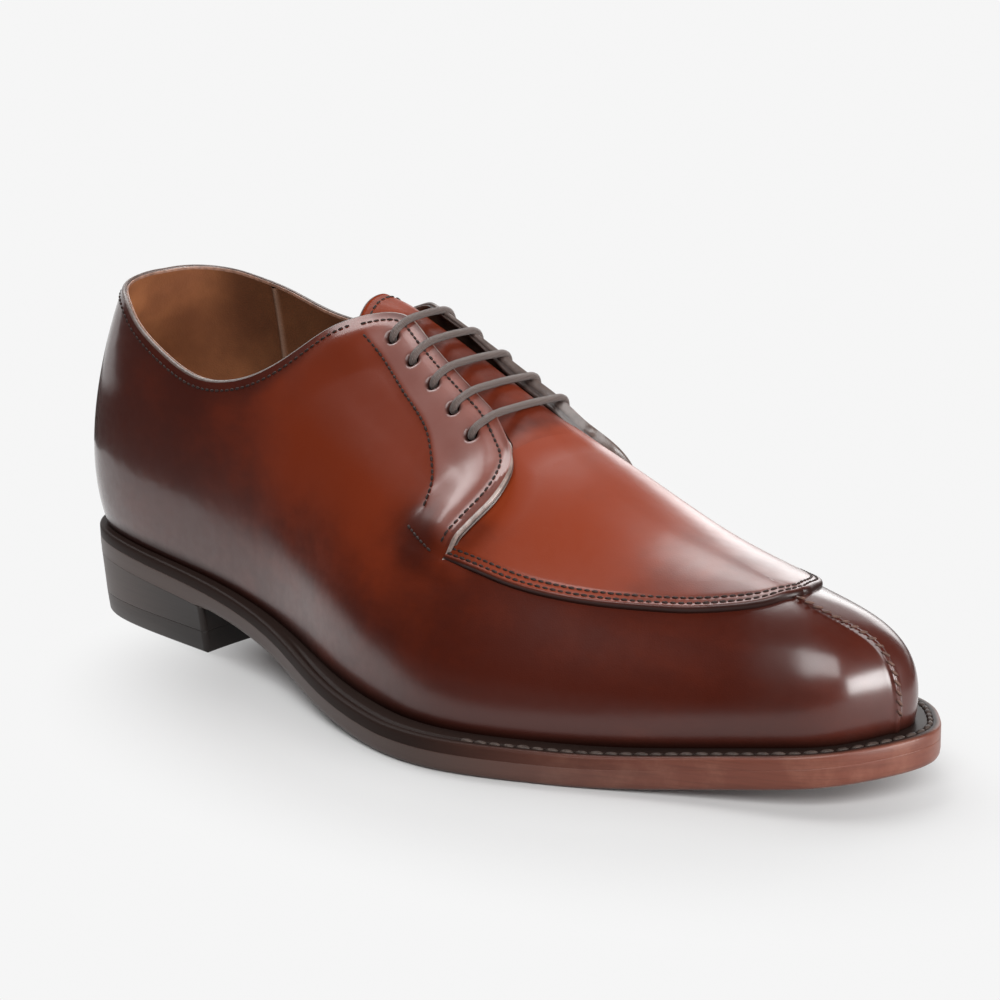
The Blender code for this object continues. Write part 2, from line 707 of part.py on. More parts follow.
def plan_origin():
    """Middle of the shoe's plan on the floor: the sole's outline and the heel's overhang."""
    columns = np.linspace(0, TOE, CURVE_STEPS * TOE + 1)
    heel_levels = np.linspace(0, top_level(-1, 0.0), CURVE_STEPS)
    heel_line = last_at(-1, np.zeros(CURVE_STEPS), heel_levels)
    points = np.vstack([heel_line[:, :2], *(edge_line(side, columns, 0.0) for side in (-1, 1))])
    low = points.min(axis=0)
    high = points.max(axis=0)
    return np.array([*(low + high) / 2, 0.0])


ORIGIN = plan_origin()
clear_scene()
make_outsole()
make_welt()
make_heel()
make_insole()
make_upper()
make_tongue()
make_lace_bars()
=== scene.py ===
import math
from collections import namedtuple

import bpy
import numpy as np
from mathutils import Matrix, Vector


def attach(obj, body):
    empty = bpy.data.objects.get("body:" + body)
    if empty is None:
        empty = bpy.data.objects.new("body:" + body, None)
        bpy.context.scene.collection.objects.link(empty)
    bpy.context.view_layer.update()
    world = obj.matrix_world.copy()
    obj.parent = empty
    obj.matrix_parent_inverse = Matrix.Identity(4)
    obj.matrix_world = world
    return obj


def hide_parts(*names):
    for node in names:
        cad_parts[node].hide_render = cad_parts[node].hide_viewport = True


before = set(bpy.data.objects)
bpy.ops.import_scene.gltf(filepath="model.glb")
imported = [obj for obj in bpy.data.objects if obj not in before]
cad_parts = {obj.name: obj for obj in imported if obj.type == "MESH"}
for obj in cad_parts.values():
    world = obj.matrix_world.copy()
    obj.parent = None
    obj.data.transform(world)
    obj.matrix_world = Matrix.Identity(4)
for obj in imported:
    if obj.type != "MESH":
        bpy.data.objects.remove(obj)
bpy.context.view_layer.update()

# Insole
# A leather board that the foot stands on, covered by a plain tan sock.
# Cut to the last's bottom and set inside the welt. Its section also holds the last that every piece follows.
MM = 0.001
OUTSOLE_THICK = 5.2
WELT_THICK = 3.4
INSOLE_THICK = 5.2
TOUCH_GAP = 0.3
SIDE_WALL = 2.0
RIDGE_STILL = 1.5
HEEL_SECTIONS = 3
CURVE_STEPS = 40
INSOLE_EDGE = ((0.0, 0.0), (0.0, 4.2), (0.3, 4.9), (1.2, INSOLE_THICK))
INSOLE_COLUMNS = 180
INSOLE_ACROSS = 26
SOCK_COLOUR = (0.36, 0.19, 0.09)
SOCK_RUBBED = 0.72

Section = namedtuple("Section", "x_edge y_lateral y_medial inset x_ridge y_ridge z_ridge lean wall crown")
SECTIONS = [
    Section(0.0, 0.0, 0.0, 2.4, 47.0, 0.0, 140.0, 0.48, 0.34, 0.08),
    Section(4.5, 15.5, 15.5, 2.4, 47.0, 0.0, 140.0, 0.44, 0.34, 0.20),
    Section(22.0, 28.5, 28.5, 2.6, 49.0, 0.0, 139.0, 0.27, 0.35, 0.60),
    Section(55.0, 34.0, 32.5, 3.0, 62.0, 0.0, 133.0, 0.10, 0.36, 0.80),
    Section(90.0, 37.0, 28.5, 3.5, 90.0, 0.0, 120.0, 0.10, 0.38, 0.66),
    Section(120.0, 42.5, 27.0, 4.5, 120.0, 0.0, 108.0, 0.10, 0.40, 0.54),
    Section(148.0, 52.3, 30.0, 6.0, 152.0, 0.0, 94.5, 0.11, 0.41, 0.55),
    Section(174.0, 59.6, 36.0, 7.0, 188.0, 0.0, 77.0, 0.11, 0.43, 0.57),
    Section(202.0, 61.5, 43.5, 7.5, 212.0, 0.0, 65.9, 0.11, 0.44, 0.55),
    Section(232.0, 50.8, 47.0, 7.5, 234.0, 0.0, 55.2, 0.12, 0.47, 0.55),
    Section(262.0, 36.5, 42.0, 7.5, 250.0, -1.8, 50.3, 0.12, 0.51, 0.58),
    Section(285.7, 26.0, 31.8, 7.0, 259.0, -3.5, 48.3, 0.14, 0.58, 0.62),
    Section(298.2, 14.0, 19.6, 6.2, 263.5, -4.5, 47.4, 0.20, 0.65, 0.68),
    Section(304.6, -5.2, 5.2, 6.9, 264.0, -4.8, 47.3, 0.13, 0.66, 0.69),
]
TOE = len(SECTIONS) - 1
SoleRow = namedtuple("SoleRow", "x height")
SOLE_PROFILE = [
    SoleRow(-6.0, 20.6), SoleRow(25.0, 18.6), SoleRow(50.0, 16.6), SoleRow(78.0, 14.2),
    SoleRow(105.0, 10.4), SoleRow(130.0, 5.9), SoleRow(155.0, 2.2), SoleRow(180.0, 0.2),
    SoleRow(202.0, -0.1), SoleRow(228.0, -0.1), SoleRow(250.0, 0.8), SoleRow(275.0, 3.7),
    SoleRow(295.0, 6.0), SoleRow(312.0, 7.9),
]
HEEL_TOP_LEVEL = 0.558


def smooth(t):
    """Ease from 0 to 1."""
    t = np.clip(t, 0.0, 1.0)
    return t * t * (3.0 - 2.0 * t)


def spline_tangents(points, closed):
    """Tangents of the cubic spline with even curvature through the points."""
    count = len(points)
    system = np.zeros((count, count))
    target = np.zeros_like(points)
    for i in range(count):
        before = (i - 1) % count
        after = (i + 1) % count
        if not closed and i == 0:
            before = i
        if not closed and i == count - 1:
            after = i
        system[i, i] = 4.0 if before != i and after != i else 2.0
        if before != i:
            system[i, before] += 1.0
        if after != i:
            system[i, after] += 1.0
        target[i] = 3.0 * (points[after] - points[before])
    return np.linalg.solve(system, target)


def spline_at(points, tangents, where, closed):
    """Points of the spline at places counted in table rows."""
    where = np.asarray(where, float)
    count = len(points)
    first = np.floor(where).astype(int)
    if not closed:
        first = np.clip(first, 0, count - 2)
    t = (where - first)[..., None]
    start = first % count
    end = (first + 1) % count
    return ((1 + 2 * t) * (1 - t) ** 2 * points[start] + t * (1 - t) ** 2 * tangents[start]
            + t * t * (3 - 2 * t) * points[end] + t * t * (t - 1) * tangents[end])


def table_curve(rows, x):
    """Second column of a table as a smooth function of its first column."""
    points = np.array(rows, float)
    tangents = spline_tangents(points, False)
    fine = spline_at(points, tangents, np.linspace(0, len(points) - 1, CURVE_STEPS * len(points)), False)
    return np.interp(x, fine[:, 0], fine[:, 1])


def sole_low(x):
    """Height of the outsole's lower face, flat on the floor under the tread."""
    return np.maximum(table_curve(SOLE_PROFILE, x), 0.0)


def welt_top(x):
    return sole_low(x) + OUTSOLE_THICK + WELT_THICK


def last_curves():
    """The edge loop and the four control curves that carry every section."""
    rows = np.array(SECTIONS, float)
    lateral = rows.copy()
    lateral[:, 1] = -rows[:, 1]
    medial = rows.copy()
    medial[:, 1] = rows[:, 2]
    loop = np.vstack([lateral, medial[-2:0:-1]])
    edge = loop[:, :2]
    run = spline_tangents(edge, True)
    out = np.column_stack([run[:, 1], -run[:, 0]])
    out = out / np.linalg.norm(out, axis=1)[:, None]
    inset, x_ridge, y_ridge, z_ridge, lean, wall, crown = loop[:, 3:].T
    rim_xy = edge - out * inset[:, None]
    rim_z = welt_top(rim_xy[:, 0]) + TOUCH_GAP
    rim = np.column_stack([rim_xy, rim_z])
    ridge = np.column_stack([x_ridge, y_ridge, z_ridge])
    reach = rim_xy - ridge[:, :2]
    spread = np.linalg.norm(reach, axis=1)
    away = reach / spread[:, None]
    ridge_run = spline_tangents(ridge, True)
    slope = np.zeros(len(loop))
    moving = np.abs(ridge_run[:, 0]) > RIDGE_STILL
    slope[moving] = ridge_run[moving, 2] / ridge_run[moving, 0]
    last_moving = max(i for i in range(TOE) if moving[i])
    slope[last_moving + 1:2 * TOE - last_moving] = slope[last_moving]
    slope[:HEEL_SECTIONS] = 0.0
    slope[1 - HEEL_SECTIONS:] = 0.0
    rise = (z_ridge - rim_z) * wall
    wall_handle = rim + np.column_stack([away * (lean * rise)[:, None], rise])
    flat = (crown * spread)[:, None]
    crown_handle = ridge + np.column_stack([away * flat, slope * crown * spread * away[:, 0]])
    curves = [(c, spline_tangents(c, True)) for c in (rim, wall_handle, crown_handle, ridge)]
    return (edge, run), curves


EDGE, CURVES = last_curves()


def loop_place(side, station):
    """Place on the closed loop: side -1 is lateral, +1 medial."""
    station = np.asarray(station, float)
    return station if side < 0 else 2 * TOE - station


def last_at(side, station, level):
    """Point of the last: station counts sections from the heel, level 0 is the rim, 1 the ridge."""
    level = np.asarray(level, float)[..., None]
    place = loop_place(side, station)
    rim, wall_handle, crown_handle, ridge = [spline_at(c, d, place, True) for c, d in CURVES]
    return ((1 - level) ** 3 * rim + 3 * level * (1 - level) ** 2 * wall_handle
            + 3 * level ** 2 * (1 - level) * crown_handle + level ** 3 * ridge)


def skin_normal(side, station, level):
    """Outward direction of the last's surface."""
    step = 0.001
    inner_level = np.clip(level, step, 1 - 3 * step)
    along = last_at(side, station + step, inner_level) - last_at(side, station - step, inner_level)
    across = last_at(side, station, inner_level + step) - last_at(side, station, inner_level - step)
    normal = np.cross(along, across) * -side
    normal[level > 1 - step, 1] = 0.0
    return normal / np.linalg.norm(normal, axis=-1, keepdims=True)


def skin(side, station, level, offset):
    """Point at an offset outward from the last's surface."""
    station, level, offset = np.broadcast_arrays(station, level, offset)
    return last_at(side, station, level) + skin_normal(side, station, level) * offset[..., None]


def outline(curve, side, stations, inset):
    """Points of a closed plan line moved inwards."""
    place = loop_place(side, stations)
    points = spline_at(*curve, place, True)[:, :2]
    step = 0.01
    run = spline_at(*curve, place + step, True) - spline_at(*curve, place - step, True)
    out = np.column_stack([run[:, 1], -run[:, 0]])
    out = out / np.linalg.norm(out, axis=1)[:, None]
    return points - out * np.broadcast_to(inset, place.shape)[:, None]


def edge_line(side, stations, inset):
    """Points of the welt's edge line moved inwards."""
    return outline(EDGE, side, stations, inset)


def rim_line(side, stations, inset):
    """Points of the upper's lower rim line moved inwards."""
    return outline(CURVES[0], side, stations, inset)


def plan_origin():
    """Middle of the shoe's plan on the floor: the sole's outline and the heel's overhang."""
    columns = np.linspace(0, TOE, CURVE_STEPS * TOE + 1)
    heel_levels = np.linspace(0, HEEL_TOP_LEVEL, CURVE_STEPS)
    heel_line = last_at(-1, np.zeros(CURVE_STEPS), heel_levels)
    points = np.vstack([heel_line[:, :2], *(edge_line(side, columns, 0.0) for side in (-1, 1))])
    return np.array([*(points.min(axis=0) + points.max(axis=0)) / 2, 0.0])


ORIGIN = plan_origin()


class Patchwork:
    """Collects grids of points into one welded mesh."""

    def __init__(self, *values):
        self.points = []
        self.faces = []
        self.values = {name: [] for name in values}
        self.count = 0

    def grid(self, points, flip=False, **values):
        """Quads over a grid of points, with a value at each point for every named attribute."""
        points = np.asarray(points, float)
        shape = points.shape[:2]
        index = self.count + np.arange(shape[0] * shape[1]).reshape(shape)
        corners = [index[:-1, :-1], index[1:, :-1], index[1:, 1:], index[:-1, 1:]]
        if flip:
            corners.reverse()
        self.faces.append(np.stack(corners, -1).reshape(-1, 4))
        self.points.append(points.reshape(-1, 3))
        for name, held in self.values.items():
            held.append(np.broadcast_to(values.get(name, 0.0), shape).ravel())
        self.count += shape[0] * shape[1]

    def build(self, name, material, slot, *nodes):
        """One mesh object that rides on the shoe and stands for the named nodes."""
        points = np.vstack(self.points)
        _, first, place = np.unique(np.round(points, 3), axis=0, return_index=True, return_inverse=True)
        rings = []
        for ring in place.reshape(-1)[np.vstack(self.faces)].tolist():
            ring = list(dict.fromkeys(ring))
            if len(ring) > 2:
                rings.append(ring)
        mesh = bpy.data.meshes.new(name)
        mesh.from_pydata(((points[first] - ORIGIN) * MM).tolist(), [], rings)
        for label, held in self.values.items():
            attribute = mesh.attributes.new(label, "FLOAT", "POINT")
            attribute.data.foreach_set("value", np.concatenate(held)[first].astype(np.float32))
        mesh.shade_smooth()
        mesh.materials.append(material)
        piece = bpy.data.objects.new(name, mesh)
        bpy.context.scene.collection.objects.link(piece)
        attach(piece, "root")
        if nodes:
            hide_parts(*nodes)


class Finish:
    """A material built line by line: each method adds one step and returns its output."""

    def __init__(self, name, roughness, specular=0.5):
        self.material = bpy.data.materials.new(name)
        self.material.use_nodes = True
        self.tree = self.material.node_tree
        self.shader = self.tree.nodes["Principled BSDF"]
        self.shader.inputs["Roughness"].default_value = roughness
        self.shader.inputs["Specular IOR Level"].default_value = specular
        self.coordinates = self.tree.nodes.new("ShaderNodeTexCoord").outputs["Object"]

    def put(self, socket, value):
        """Links an output to a socket, or sets a constant on it."""
        if isinstance(value, bpy.types.NodeSocket):
            self.tree.links.new(value, socket)
        else:
            socket.default_value = value

    def set(self, name, value):
        self.put(self.shader.inputs[name], value)

    def attribute(self, name):
        node = self.tree.nodes.new("ShaderNodeAttribute")
        node.attribute_name = name
        return node.outputs["Fac"]

    def noise(self, per_metre, detail=3.0, rough=0.55, stretch=None):
        """Even noise about one half, with a size in cells to the metre."""
        node = self.tree.nodes.new("ShaderNodeTexNoise")
        node.inputs["Scale"].default_value = per_metre
        node.inputs["Detail"].default_value = detail
        node.inputs["Roughness"].default_value = rough
        source = self.coordinates
        if stretch:
            mapping = self.tree.nodes.new("ShaderNodeMapping")
            mapping.inputs["Scale"].default_value = stretch
            self.put(mapping.inputs["Vector"], source)
            source = mapping.outputs["Vector"]
        self.put(node.inputs["Vector"], source)
        return node.outputs["Fac"]

    def cells(self, per_metre):
        """Distance to the nearest grain cell's middle."""
        node = self.tree.nodes.new("ShaderNodeTexVoronoi")
        node.inputs["Scale"].default_value = per_metre
        self.put(node.inputs["Vector"], self.coordinates)
        return node.outputs["Distance"]

    def span(self, value, low, high, to_low, to_high):
        """Maps one range smoothly onto another."""
        node = self.tree.nodes.new("ShaderNodeMapRange")
        node.interpolation_type = "SMOOTHSTEP"
        self.put(node.inputs["Value"], value)
        for name, number in (("From Min", low), ("From Max", high), ("To Min", to_low), ("To Max", to_high)):
            node.inputs[name].default_value = number
        return node.outputs["Result"]

    def by(self, name, low, high):
        """A number between two, by an attribute of the mesh."""
        return self.span(self.attribute(name), 0.0, 1.0, low, high)

    def patches(self, per_metre, detail=3.0, most=1.0):
        """Soft patches from nothing to a most."""
        return self.span(self.noise(per_metre, detail), 0.35, 0.7, 0.0, most)

    def maths(self, operation, a, b=0.0):
        node = self.tree.nodes.new("ShaderNodeMath")
        node.operation = operation
        self.put(node.inputs[0], a)
        self.put(node.inputs[1], b)
        return node.outputs["Value"]

    def mix(self, share, a, b):
        """Colour between two colours."""
        node = self.tree.nodes.new("ShaderNodeMix")
        node.data_type = "RGBA"
        self.put(node.inputs["Factor"], share)
        for socket, colour in ((node.inputs[6], a), (node.inputs[7], b)):
            self.put(socket, (*colour, 1.0) if isinstance(colour, tuple) else colour)
        return node.outputs[2]

    def relief(self, height, millimetres, under=None):
        """Bump of the given height, on top of another bump."""
        node = self.tree.nodes.new("ShaderNodeBump")
        node.inputs["Strength"].default_value = 1.0
        node.inputs["Distance"].default_value = millimetres * MM
        self.put(node.inputs["Height"], height)
        if under:
            self.put(node.inputs["Normal"], under)
        return node.outputs["Normal"]


def darkened(colour, share):
    return tuple(share * part for part in colour)


def sock_finish():
    finish = Finish("sock_leather", roughness=0.55, specular=0.3)
    patch = finish.patches(45.0)
    finish.set("Base Color", finish.mix(patch, SOCK_COLOUR, darkened(SOCK_COLOUR, SOCK_RUBBED)))
    finish.set("Normal", finish.relief(finish.cells(1900.0), 0.06))
    return finish.material


def rows_on_sole(line_at, side, columns, rows, base):
    """Rows of points, each at an inset from a plan line and a height over the outsole's lower face."""
    points = []
    for inset, height in rows:
        line = line_at(side, columns, inset)
        points.append(np.column_stack([line, sole_low(line[:, 0]) + base + height]))
    return np.stack(points, 1)


def close_rings(work, rings, count):
    """Upper and lower face between the end rows of the two sides."""
    across = np.linspace(0, 1, count)[None, :, None]
    for row, flip in ((-1, False), (0, True)):
        near = rings[-1][:, row][:, None]
        far = rings[1][:, row][:, None]
        work.grid(near * (1 - across) + far * across, flip)


def insole_piece():
    columns = np.linspace(0, TOE, INSOLE_COLUMNS)
    work = Patchwork()
    rows = [(SIDE_WALL + 2 * TOUCH_GAP + inset, height) for inset, height in INSOLE_EDGE]
    rings = {}
    for side in (-1, 1):
        rings[side] = rows_on_sole(rim_line, side, columns, rows, OUTSOLE_THICK + TOUCH_GAP)
        work.grid(rings[side], side > 0)
    close_rings(work, rings, INSOLE_ACROSS)
    work.build("insole_sock", sock_finish(), "insole_tan", "insole")


insole_piece()


# Side leather
# Two pieces of burnished calf that meet at a raised seam down the toe and run back round the heel.
# Their upper edges are the topline and the facings, which lie on the apron and are punched for the lace.
Fade = namedtuple("Fade", "start run depth", defaults=(1.0,))
RIB_LENGTH = 110.0
STATION_PITCH = 27.0
TOE_PITCH = 19.0
APRON_RISE = 1.4
SEAM_FADE = 8.0
TOE_SEAM_RISE = 0.9
TOE_SEAM_WIDTH = 1.1
TOE_SEAM_GROOVE = 0.35
TOE_SEAM_SLIT = 0.28
TOE_SEAM_SHIFT = 0.2
FACING_RISE = 3.6
FACING_FLAT = 6.0
FACING_FADE = 16.0
FACING_FOOT_FADE = 11.0
FACING_JOIN = 10.0
FACING_FOOT_SHARE = 0.22
FACING_LIFT_SHARE = 0.3
FACING_BEGIN = Fade(4.5, 1.1)
TOE_SEAM_LEAN = Fade(0.40, 0.45, 0.5)
EDGE_LIFT = 1.8
EDGE_LIFT_DEPTH = 14.0
EDGE_LIFT_END_RUN = 0.7
APRON_WALL = 2.6
TopRow = namedtuple("TopRow", "station lateral medial")
TOPLINE = [
    TopRow(0.0, 0.558, 0.558), TopRow(1.0, 0.553, 0.560), TopRow(2.0, 0.528, 0.554),
    TopRow(2.5, 0.482, 0.543), TopRow(3.0, 0.441, 0.537), TopRow(3.5, 0.430, 0.548),
    TopRow(4.0, 0.475, 0.585), TopRow(4.5, 0.575, 0.645), TopRow(5.0, 0.732, 0.745),
    TopRow(5.35, 0.835, 0.835), TopRow(5.55, 0.895, 0.895), TopRow(5.75, 0.921, 0.921),
    TopRow(6.1, 0.896, 0.896), TopRow(6.63, 0.869, 0.869), TopRow(7.0, 0.855, 0.855),
    TopRow(7.27, 0.829, 0.829), TopRow(7.5, 0.802, 0.802),
]
SeamRow = namedtuple("SeamRow", "station level")
APRON_SEAM = [
    SeamRow(0.0, 0.26), SeamRow(2.0, 0.26), SeamRow(4.0, 0.30), SeamRow(6.0, 0.38),
    SeamRow(7.5, 0.455), SeamRow(8.2, 0.471), SeamRow(8.7, 0.490), SeamRow(9.2, 0.523),
    SeamRow(9.6, 0.553), SeamRow(10.0, 0.588), SeamRow(10.7, 0.682), SeamRow(11.4, 0.785),
    SeamRow(12.1, 0.838), SeamRow(13.0, 0.858),
]
THROAT = 7.5
FlareRow = namedtuple("FlareRow", "share swing")
FLARE = [
    FlareRow(0.0, 0.0), FlareRow(0.22, 0.06), FlareRow(0.42, 0.10), FlareRow(0.62, 0.10),
    FlareRow(0.86, -0.03), FlareRow(1.0, -0.25),
]
FLARE_REACH = 2.5
EYELETS = [
    SeamRow(5.70, 0.830), SeamRow(6.0, 0.814), SeamRow(6.29, 0.800), SeamRow(6.58, 0.784),
    SeamRow(6.88, 0.762),
]
REAR_ROW = [
    SeamRow(5.43, 0.778), SeamRow(5.70, 0.765), SeamRow(6.03, 0.735), SeamRow(6.20, 0.722),
    SeamRow(6.43, 0.702), SeamRow(6.60, 0.668), SeamRow(6.73, 0.631), SeamRow(6.83, 0.591),
    SeamRow(6.90, 0.538),
]
REAR_ROW_STEPS = 160
VALLEY = Fade(0.735, -0.14, 1.5)
VALLEY_BEHIND = 48.0
VALLEY_AHEAD = 32.0
# Painted shade in the fold behind the throat corner: its middle and reach.
FOLD = SeamRow(7.08, 0.462)
FOLD_REACH = 11.0
EDGE_CURL = 0.8
EDGE_CURL_REACH = 5.0
EDGE_CURL_BEGIN = Fade(6.8, 0.4)
EYELET_SEAT = 0.97
EYELET_RADIUS = 1.75
EYELET_DEPTH = 2.0
EYELET_REACH = 4.0
EYELET_DIP = 1.35
EYELET_SHADE = 1.7
EYELET_LIP = 0.03
EYELET_LIP_AT = 1.25
EYELET_LIP_WIDTH = 0.5
LOW_ROWS = 40
QUARTER_ROWS = 84
QUARTER_CROWDING = 1.25
LOW_TUCK = (0.4, 0.8)
APRON_TUCK = (0.03, -0.5)
WARM_CALF = (0.147, 0.0215, 0.0070)
DARK_CALF = (0.050, 0.0085, 0.0045)
# Painted shade: near black in the lace holes, in a band just above the welt and at the apron's turned edge.
PAINTED_SHADE_CALF = (0.010, 0.004, 0.003)
# Painted sheen: a pale greyish colour laid over the facings and the apron's front for their soft
# reflections.
PAINTED_SHEEN_CALF = (0.300, 0.170, 0.155)
HEEL_RUB = Fade(4.9, -1.5, 0.85)
TOE_RUB = Fade(8.6, 3.6, 0.8)
# Darker towards the welt and over the vamp.
RIM_DARKENING = Fade(0.45, -0.28, 0.75)
VAMP_DARKENING = Fade(6.2, 1.3)
VAMP_DARKENING_CORNER = Fade(0.56, -0.16)
VAMP_DARKENING_LEAST = 0.6
VAMP_DARKENING_MORE = Fade(7.6, 1.0, 0.38)
TOPLINE_RUB = Fade(9.0, -9.0, 0.7)
TOPLINE_RUB_END = Fade(5.6, -0.8)
WELT_SHADOW = Fade(5.0, -5.0, 0.9)
# Painted sheen on the facing: from the rear stitch row forward, fading near the front edge and at the foot.
SHEEN_ROW = Fade(0.0, 2.0)
SHEEN_FALL = Fade(10.0, 7.0, 0.65)
SHEEN_BEGIN = Fade(5.3, 0.3)
SHEEN_FOOT = Fade(0.48, 0.06)
# Darker along the facing's front edge, with less polish and less painted sheen.
FACING_STRIP = Fade(5.0, -5.0)
FACING_EDGE_BEGIN = Fade(5.1, 0.5)
STRIP_DARKENING = 0.85
STRIP_MATT = 0.75
STRIP_SHEEN_LOSS = 0.8
WEAR_BEGIN = Fade(4.2, 1.1)
WEAR_END = Fade(11.1, -0.9)
WEAR_TOP = Fade(0.57, -0.12)
WEAR_WELT = Fade(0.12, 0.12)
HEEL_MIRROR = Fade(4.3, -1.2)
CALF_ROUGH = (0.38, 0.48)
CALF_SPECULAR = (0.14, 0.05)
CALF_EVEN_ROUGH = 0.42
CALF_COAT = (1.0, 0.04)
CALF_COAT_IOR = 1.5
SIDE_POLISH = 0.22
HEEL_POLISH = 0.13


def fade(value, band):
    """Ease from nothing at the band's start to its depth one run on; a negative run goes down."""
    return band.depth * smooth((value - band.start) / band.run)


def top_level(side, station):
    """Level of the topline, facing top and facing front edge on one side."""
    column = TopRow._fields.index("lateral" if side < 0 else "medial")
    return table_curve([(row.station, row[column]) for row in TOPLINE], station)


def below_top(side, station, level):
    """How far below the topline or the facing's edge a point lies, in millimetres."""
    return (top_level(side, station) - level) * RIB_LENGTH


def swing(station, share):
    """Station with the facing's flared front edge taken in."""
    near = smooth(1.0 - np.abs(station - THROAT) / FLARE_REACH)
    return station + table_curve(FLARE, np.clip(share, 0, 1)) * near


def facing_rise(station, share, depth_top):
    """Height of the facing over the last at a share of the way from seam line to front edge."""
    ahead = (THROAT - station) * STATION_PITCH
    begun = fade(station, FACING_BEGIN)
    band = smooth(1 - (depth_top - FACING_FLAT) / FACING_FADE) * begun
    flare = smooth(1 - (ahead - FACING_FLAT) / FACING_FADE)
    height = APRON_RISE + (FACING_RISE - APRON_RISE) * smooth(share / FACING_FOOT_SHARE)
    return height * (1 - (1 - band) * (1 - flare))


def edge_lift(side, station, depth_top):
    """The inner side's facing stands off the tongue along its front edge."""
    begun = fade(station, FACING_BEGIN)
    ended = smooth((THROAT - station) / EDGE_LIFT_END_RUN)
    height = EDGE_LIFT if side > 0 else 0.0
    return height * smooth(1 - depth_top / EDGE_LIFT_DEPTH) * begun * ended


def unit(vectors):
    return vectors / np.maximum(np.linalg.norm(vectors, axis=-1, keepdims=True), 1e-9)


def low_side_rise(station, depth):
    """The facing's foot fades out below the throat corner and ahead of it."""
    away = (THROAT - station) * STATION_PITCH
    behind = smooth(1 - (away - FACING_FLAT) / FACING_FADE)
    ahead = smooth(1 + away / FACING_FOOT_FADE)
    return APRON_RISE * np.where(away > 0, behind, ahead) * smooth(1 - depth / SEAM_FADE)


def toe_seam_shift(level):
    """How far the seam lies to the outer side of the toe's middle, in stations."""
    return TOE_SEAM_SHIFT + fade(level, TOE_SEAM_LEAN)


def toe_seam_rise(side, station, level):
    """Ridge of two leather edges sewn together down the toe, with the slit between them."""
    away = ((station - TOE) * side - toe_seam_shift(level)) * TOE_PITCH
    ridge = TOE_SEAM_RISE * np.exp(-(away / TOE_SEAM_WIDTH) ** 2)
    return ridge - TOE_SEAM_GROOVE * np.exp(-(away / TOE_SEAM_SLIT) ** 2)


def row_distance(station, level):
    """Distance from the facing's rear stitch row, and how far ahead of it on the facing."""
    scale = np.array([STATION_PITCH, RIB_LENGTH])
    rows = np.array(REAR_ROW) * scale
    tangents = spline_tangents(rows, False)
    line = spline_at(rows, tangents, np.linspace(0, len(rows) - 1, REAR_ROW_STEPS), False)
    run = np.gradient(line, axis=0)
    away = np.stack([station, level], -1)[..., None, :] * scale - line
    distance = np.linalg.norm(away, axis=-1)
    nearest = distance.argmin(-1)
    found = np.take_along_axis(away, nearest[..., None, None], -2)[..., 0, :]
    ahead = unit(run)[nearest][..., 0] * found[..., 1] - unit(run)[nearest][..., 1] * found[..., 0]
    return distance.min(-1), ahead


def facing_valley(station, level):
    """The stiff facing rises flat from a shallow valley at the foot of its rear stitch row."""
    away, ahead = row_distance(station, level)
    side = 0.5 + 0.5 * ahead / np.maximum(away, 0.01)
    reach = VALLEY_BEHIND + (VALLEY_AHEAD - VALLEY_BEHIND) * side
    return -fade(level, VALLEY) * (1 - np.clip(away / reach, 0, 1)) ** 2


def edge_curl(station, depth_top):
    """The facing's cut edge curls up a little off the apron and the tongue."""
    begun = fade(station, EDGE_CURL_BEGIN)
    top = smooth(1 - depth_top / EDGE_CURL_REACH)
    flare = smooth(1 - (THROAT - station) * STATION_PITCH / EDGE_CURL_REACH)
    return EDGE_CURL * begun * (1 - (1 - top) * (1 - flare))


def apron_inner(depth):
    return -SIDE_WALL + (SIDE_WALL + APRON_RISE - APRON_WALL) * smooth(depth / SEAM_FADE)


def fold_painted_shade(station, level):
    """Painted shade: one at the fold behind the throat corner, where the facing is drawn in, and nothing
    farther off.
    """
    away = np.hypot((station - FOLD.station) * STATION_PITCH, (level - FOLD.level) * RIB_LENGTH)
    return np.exp(-(away / FOLD_REACH) ** 2)


def burnish_and_shade(side, station, level):
    """How dark the calf is: rubbed dark at the heel, along the topline and at the toe, darker over the vamp
    and towards the welt, with painted shade in the fold behind the throat corner.
    """
    corner = np.where(station > THROAT, 1.0, fade(level, VAMP_DARKENING_CORNER))
    vamp = fade(station, VAMP_DARKENING) * corner * (VAMP_DARKENING_LEAST + fade(station, VAMP_DARKENING_MORE))
    depth_top = below_top(side, np.minimum(station, THROAT), level)
    topline = fade(depth_top, TOPLINE_RUB) * fade(station, TOPLINE_RUB_END)
    light = (1 - fade(station, HEEL_RUB)) * (1 - fade(station, TOE_RUB)) * (1 - fade(level, RIM_DARKENING))
    light = light * (1 - vamp) * (1 - topline)
    return 1 - light * (1 - fold_painted_shade(station, level))


def facing_bloom(station, level):
    """Painted sheen: the facing is painted a little paler and greyer than the side leather, from its rear
    stitch row forward, for the soft reflection on it.
    """
    _, ahead = row_distance(station, level)
    middle = fade(ahead, SHEEN_ROW) * (1 - fade(ahead, SHEEN_FALL))
    begun = fade(station, SHEEN_BEGIN) * fade(level, SHEEN_FOOT)
    return middle * begun * (1 - fold_painted_shade(station, level))


def unpolished(station, level):
    """The vamp bends in wear, so its polish is rubbed back there, except close to the welt."""
    below = np.where(station > THROAT, 1.0, fade(level, WEAR_TOP))
    worn = fade(station, WEAR_BEGIN) * fade(station, WEAR_END)
    return worn * below * fade(level, WEAR_WELT)


def stations_in(*runs):
    """Stations in runs from a start to an end with a count, each run with a spacing of its own."""
    return np.unique(np.concatenate([np.linspace(*run) for run in runs]))


REAR_COLUMNS = stations_in((0.0, 5.4, 110), (5.4, 7.1, 86), (7.1, THROAT, 16))
FRONT_COLUMNS = stations_in((THROAT, 12.1, 110), (12.1, TOE, 52))


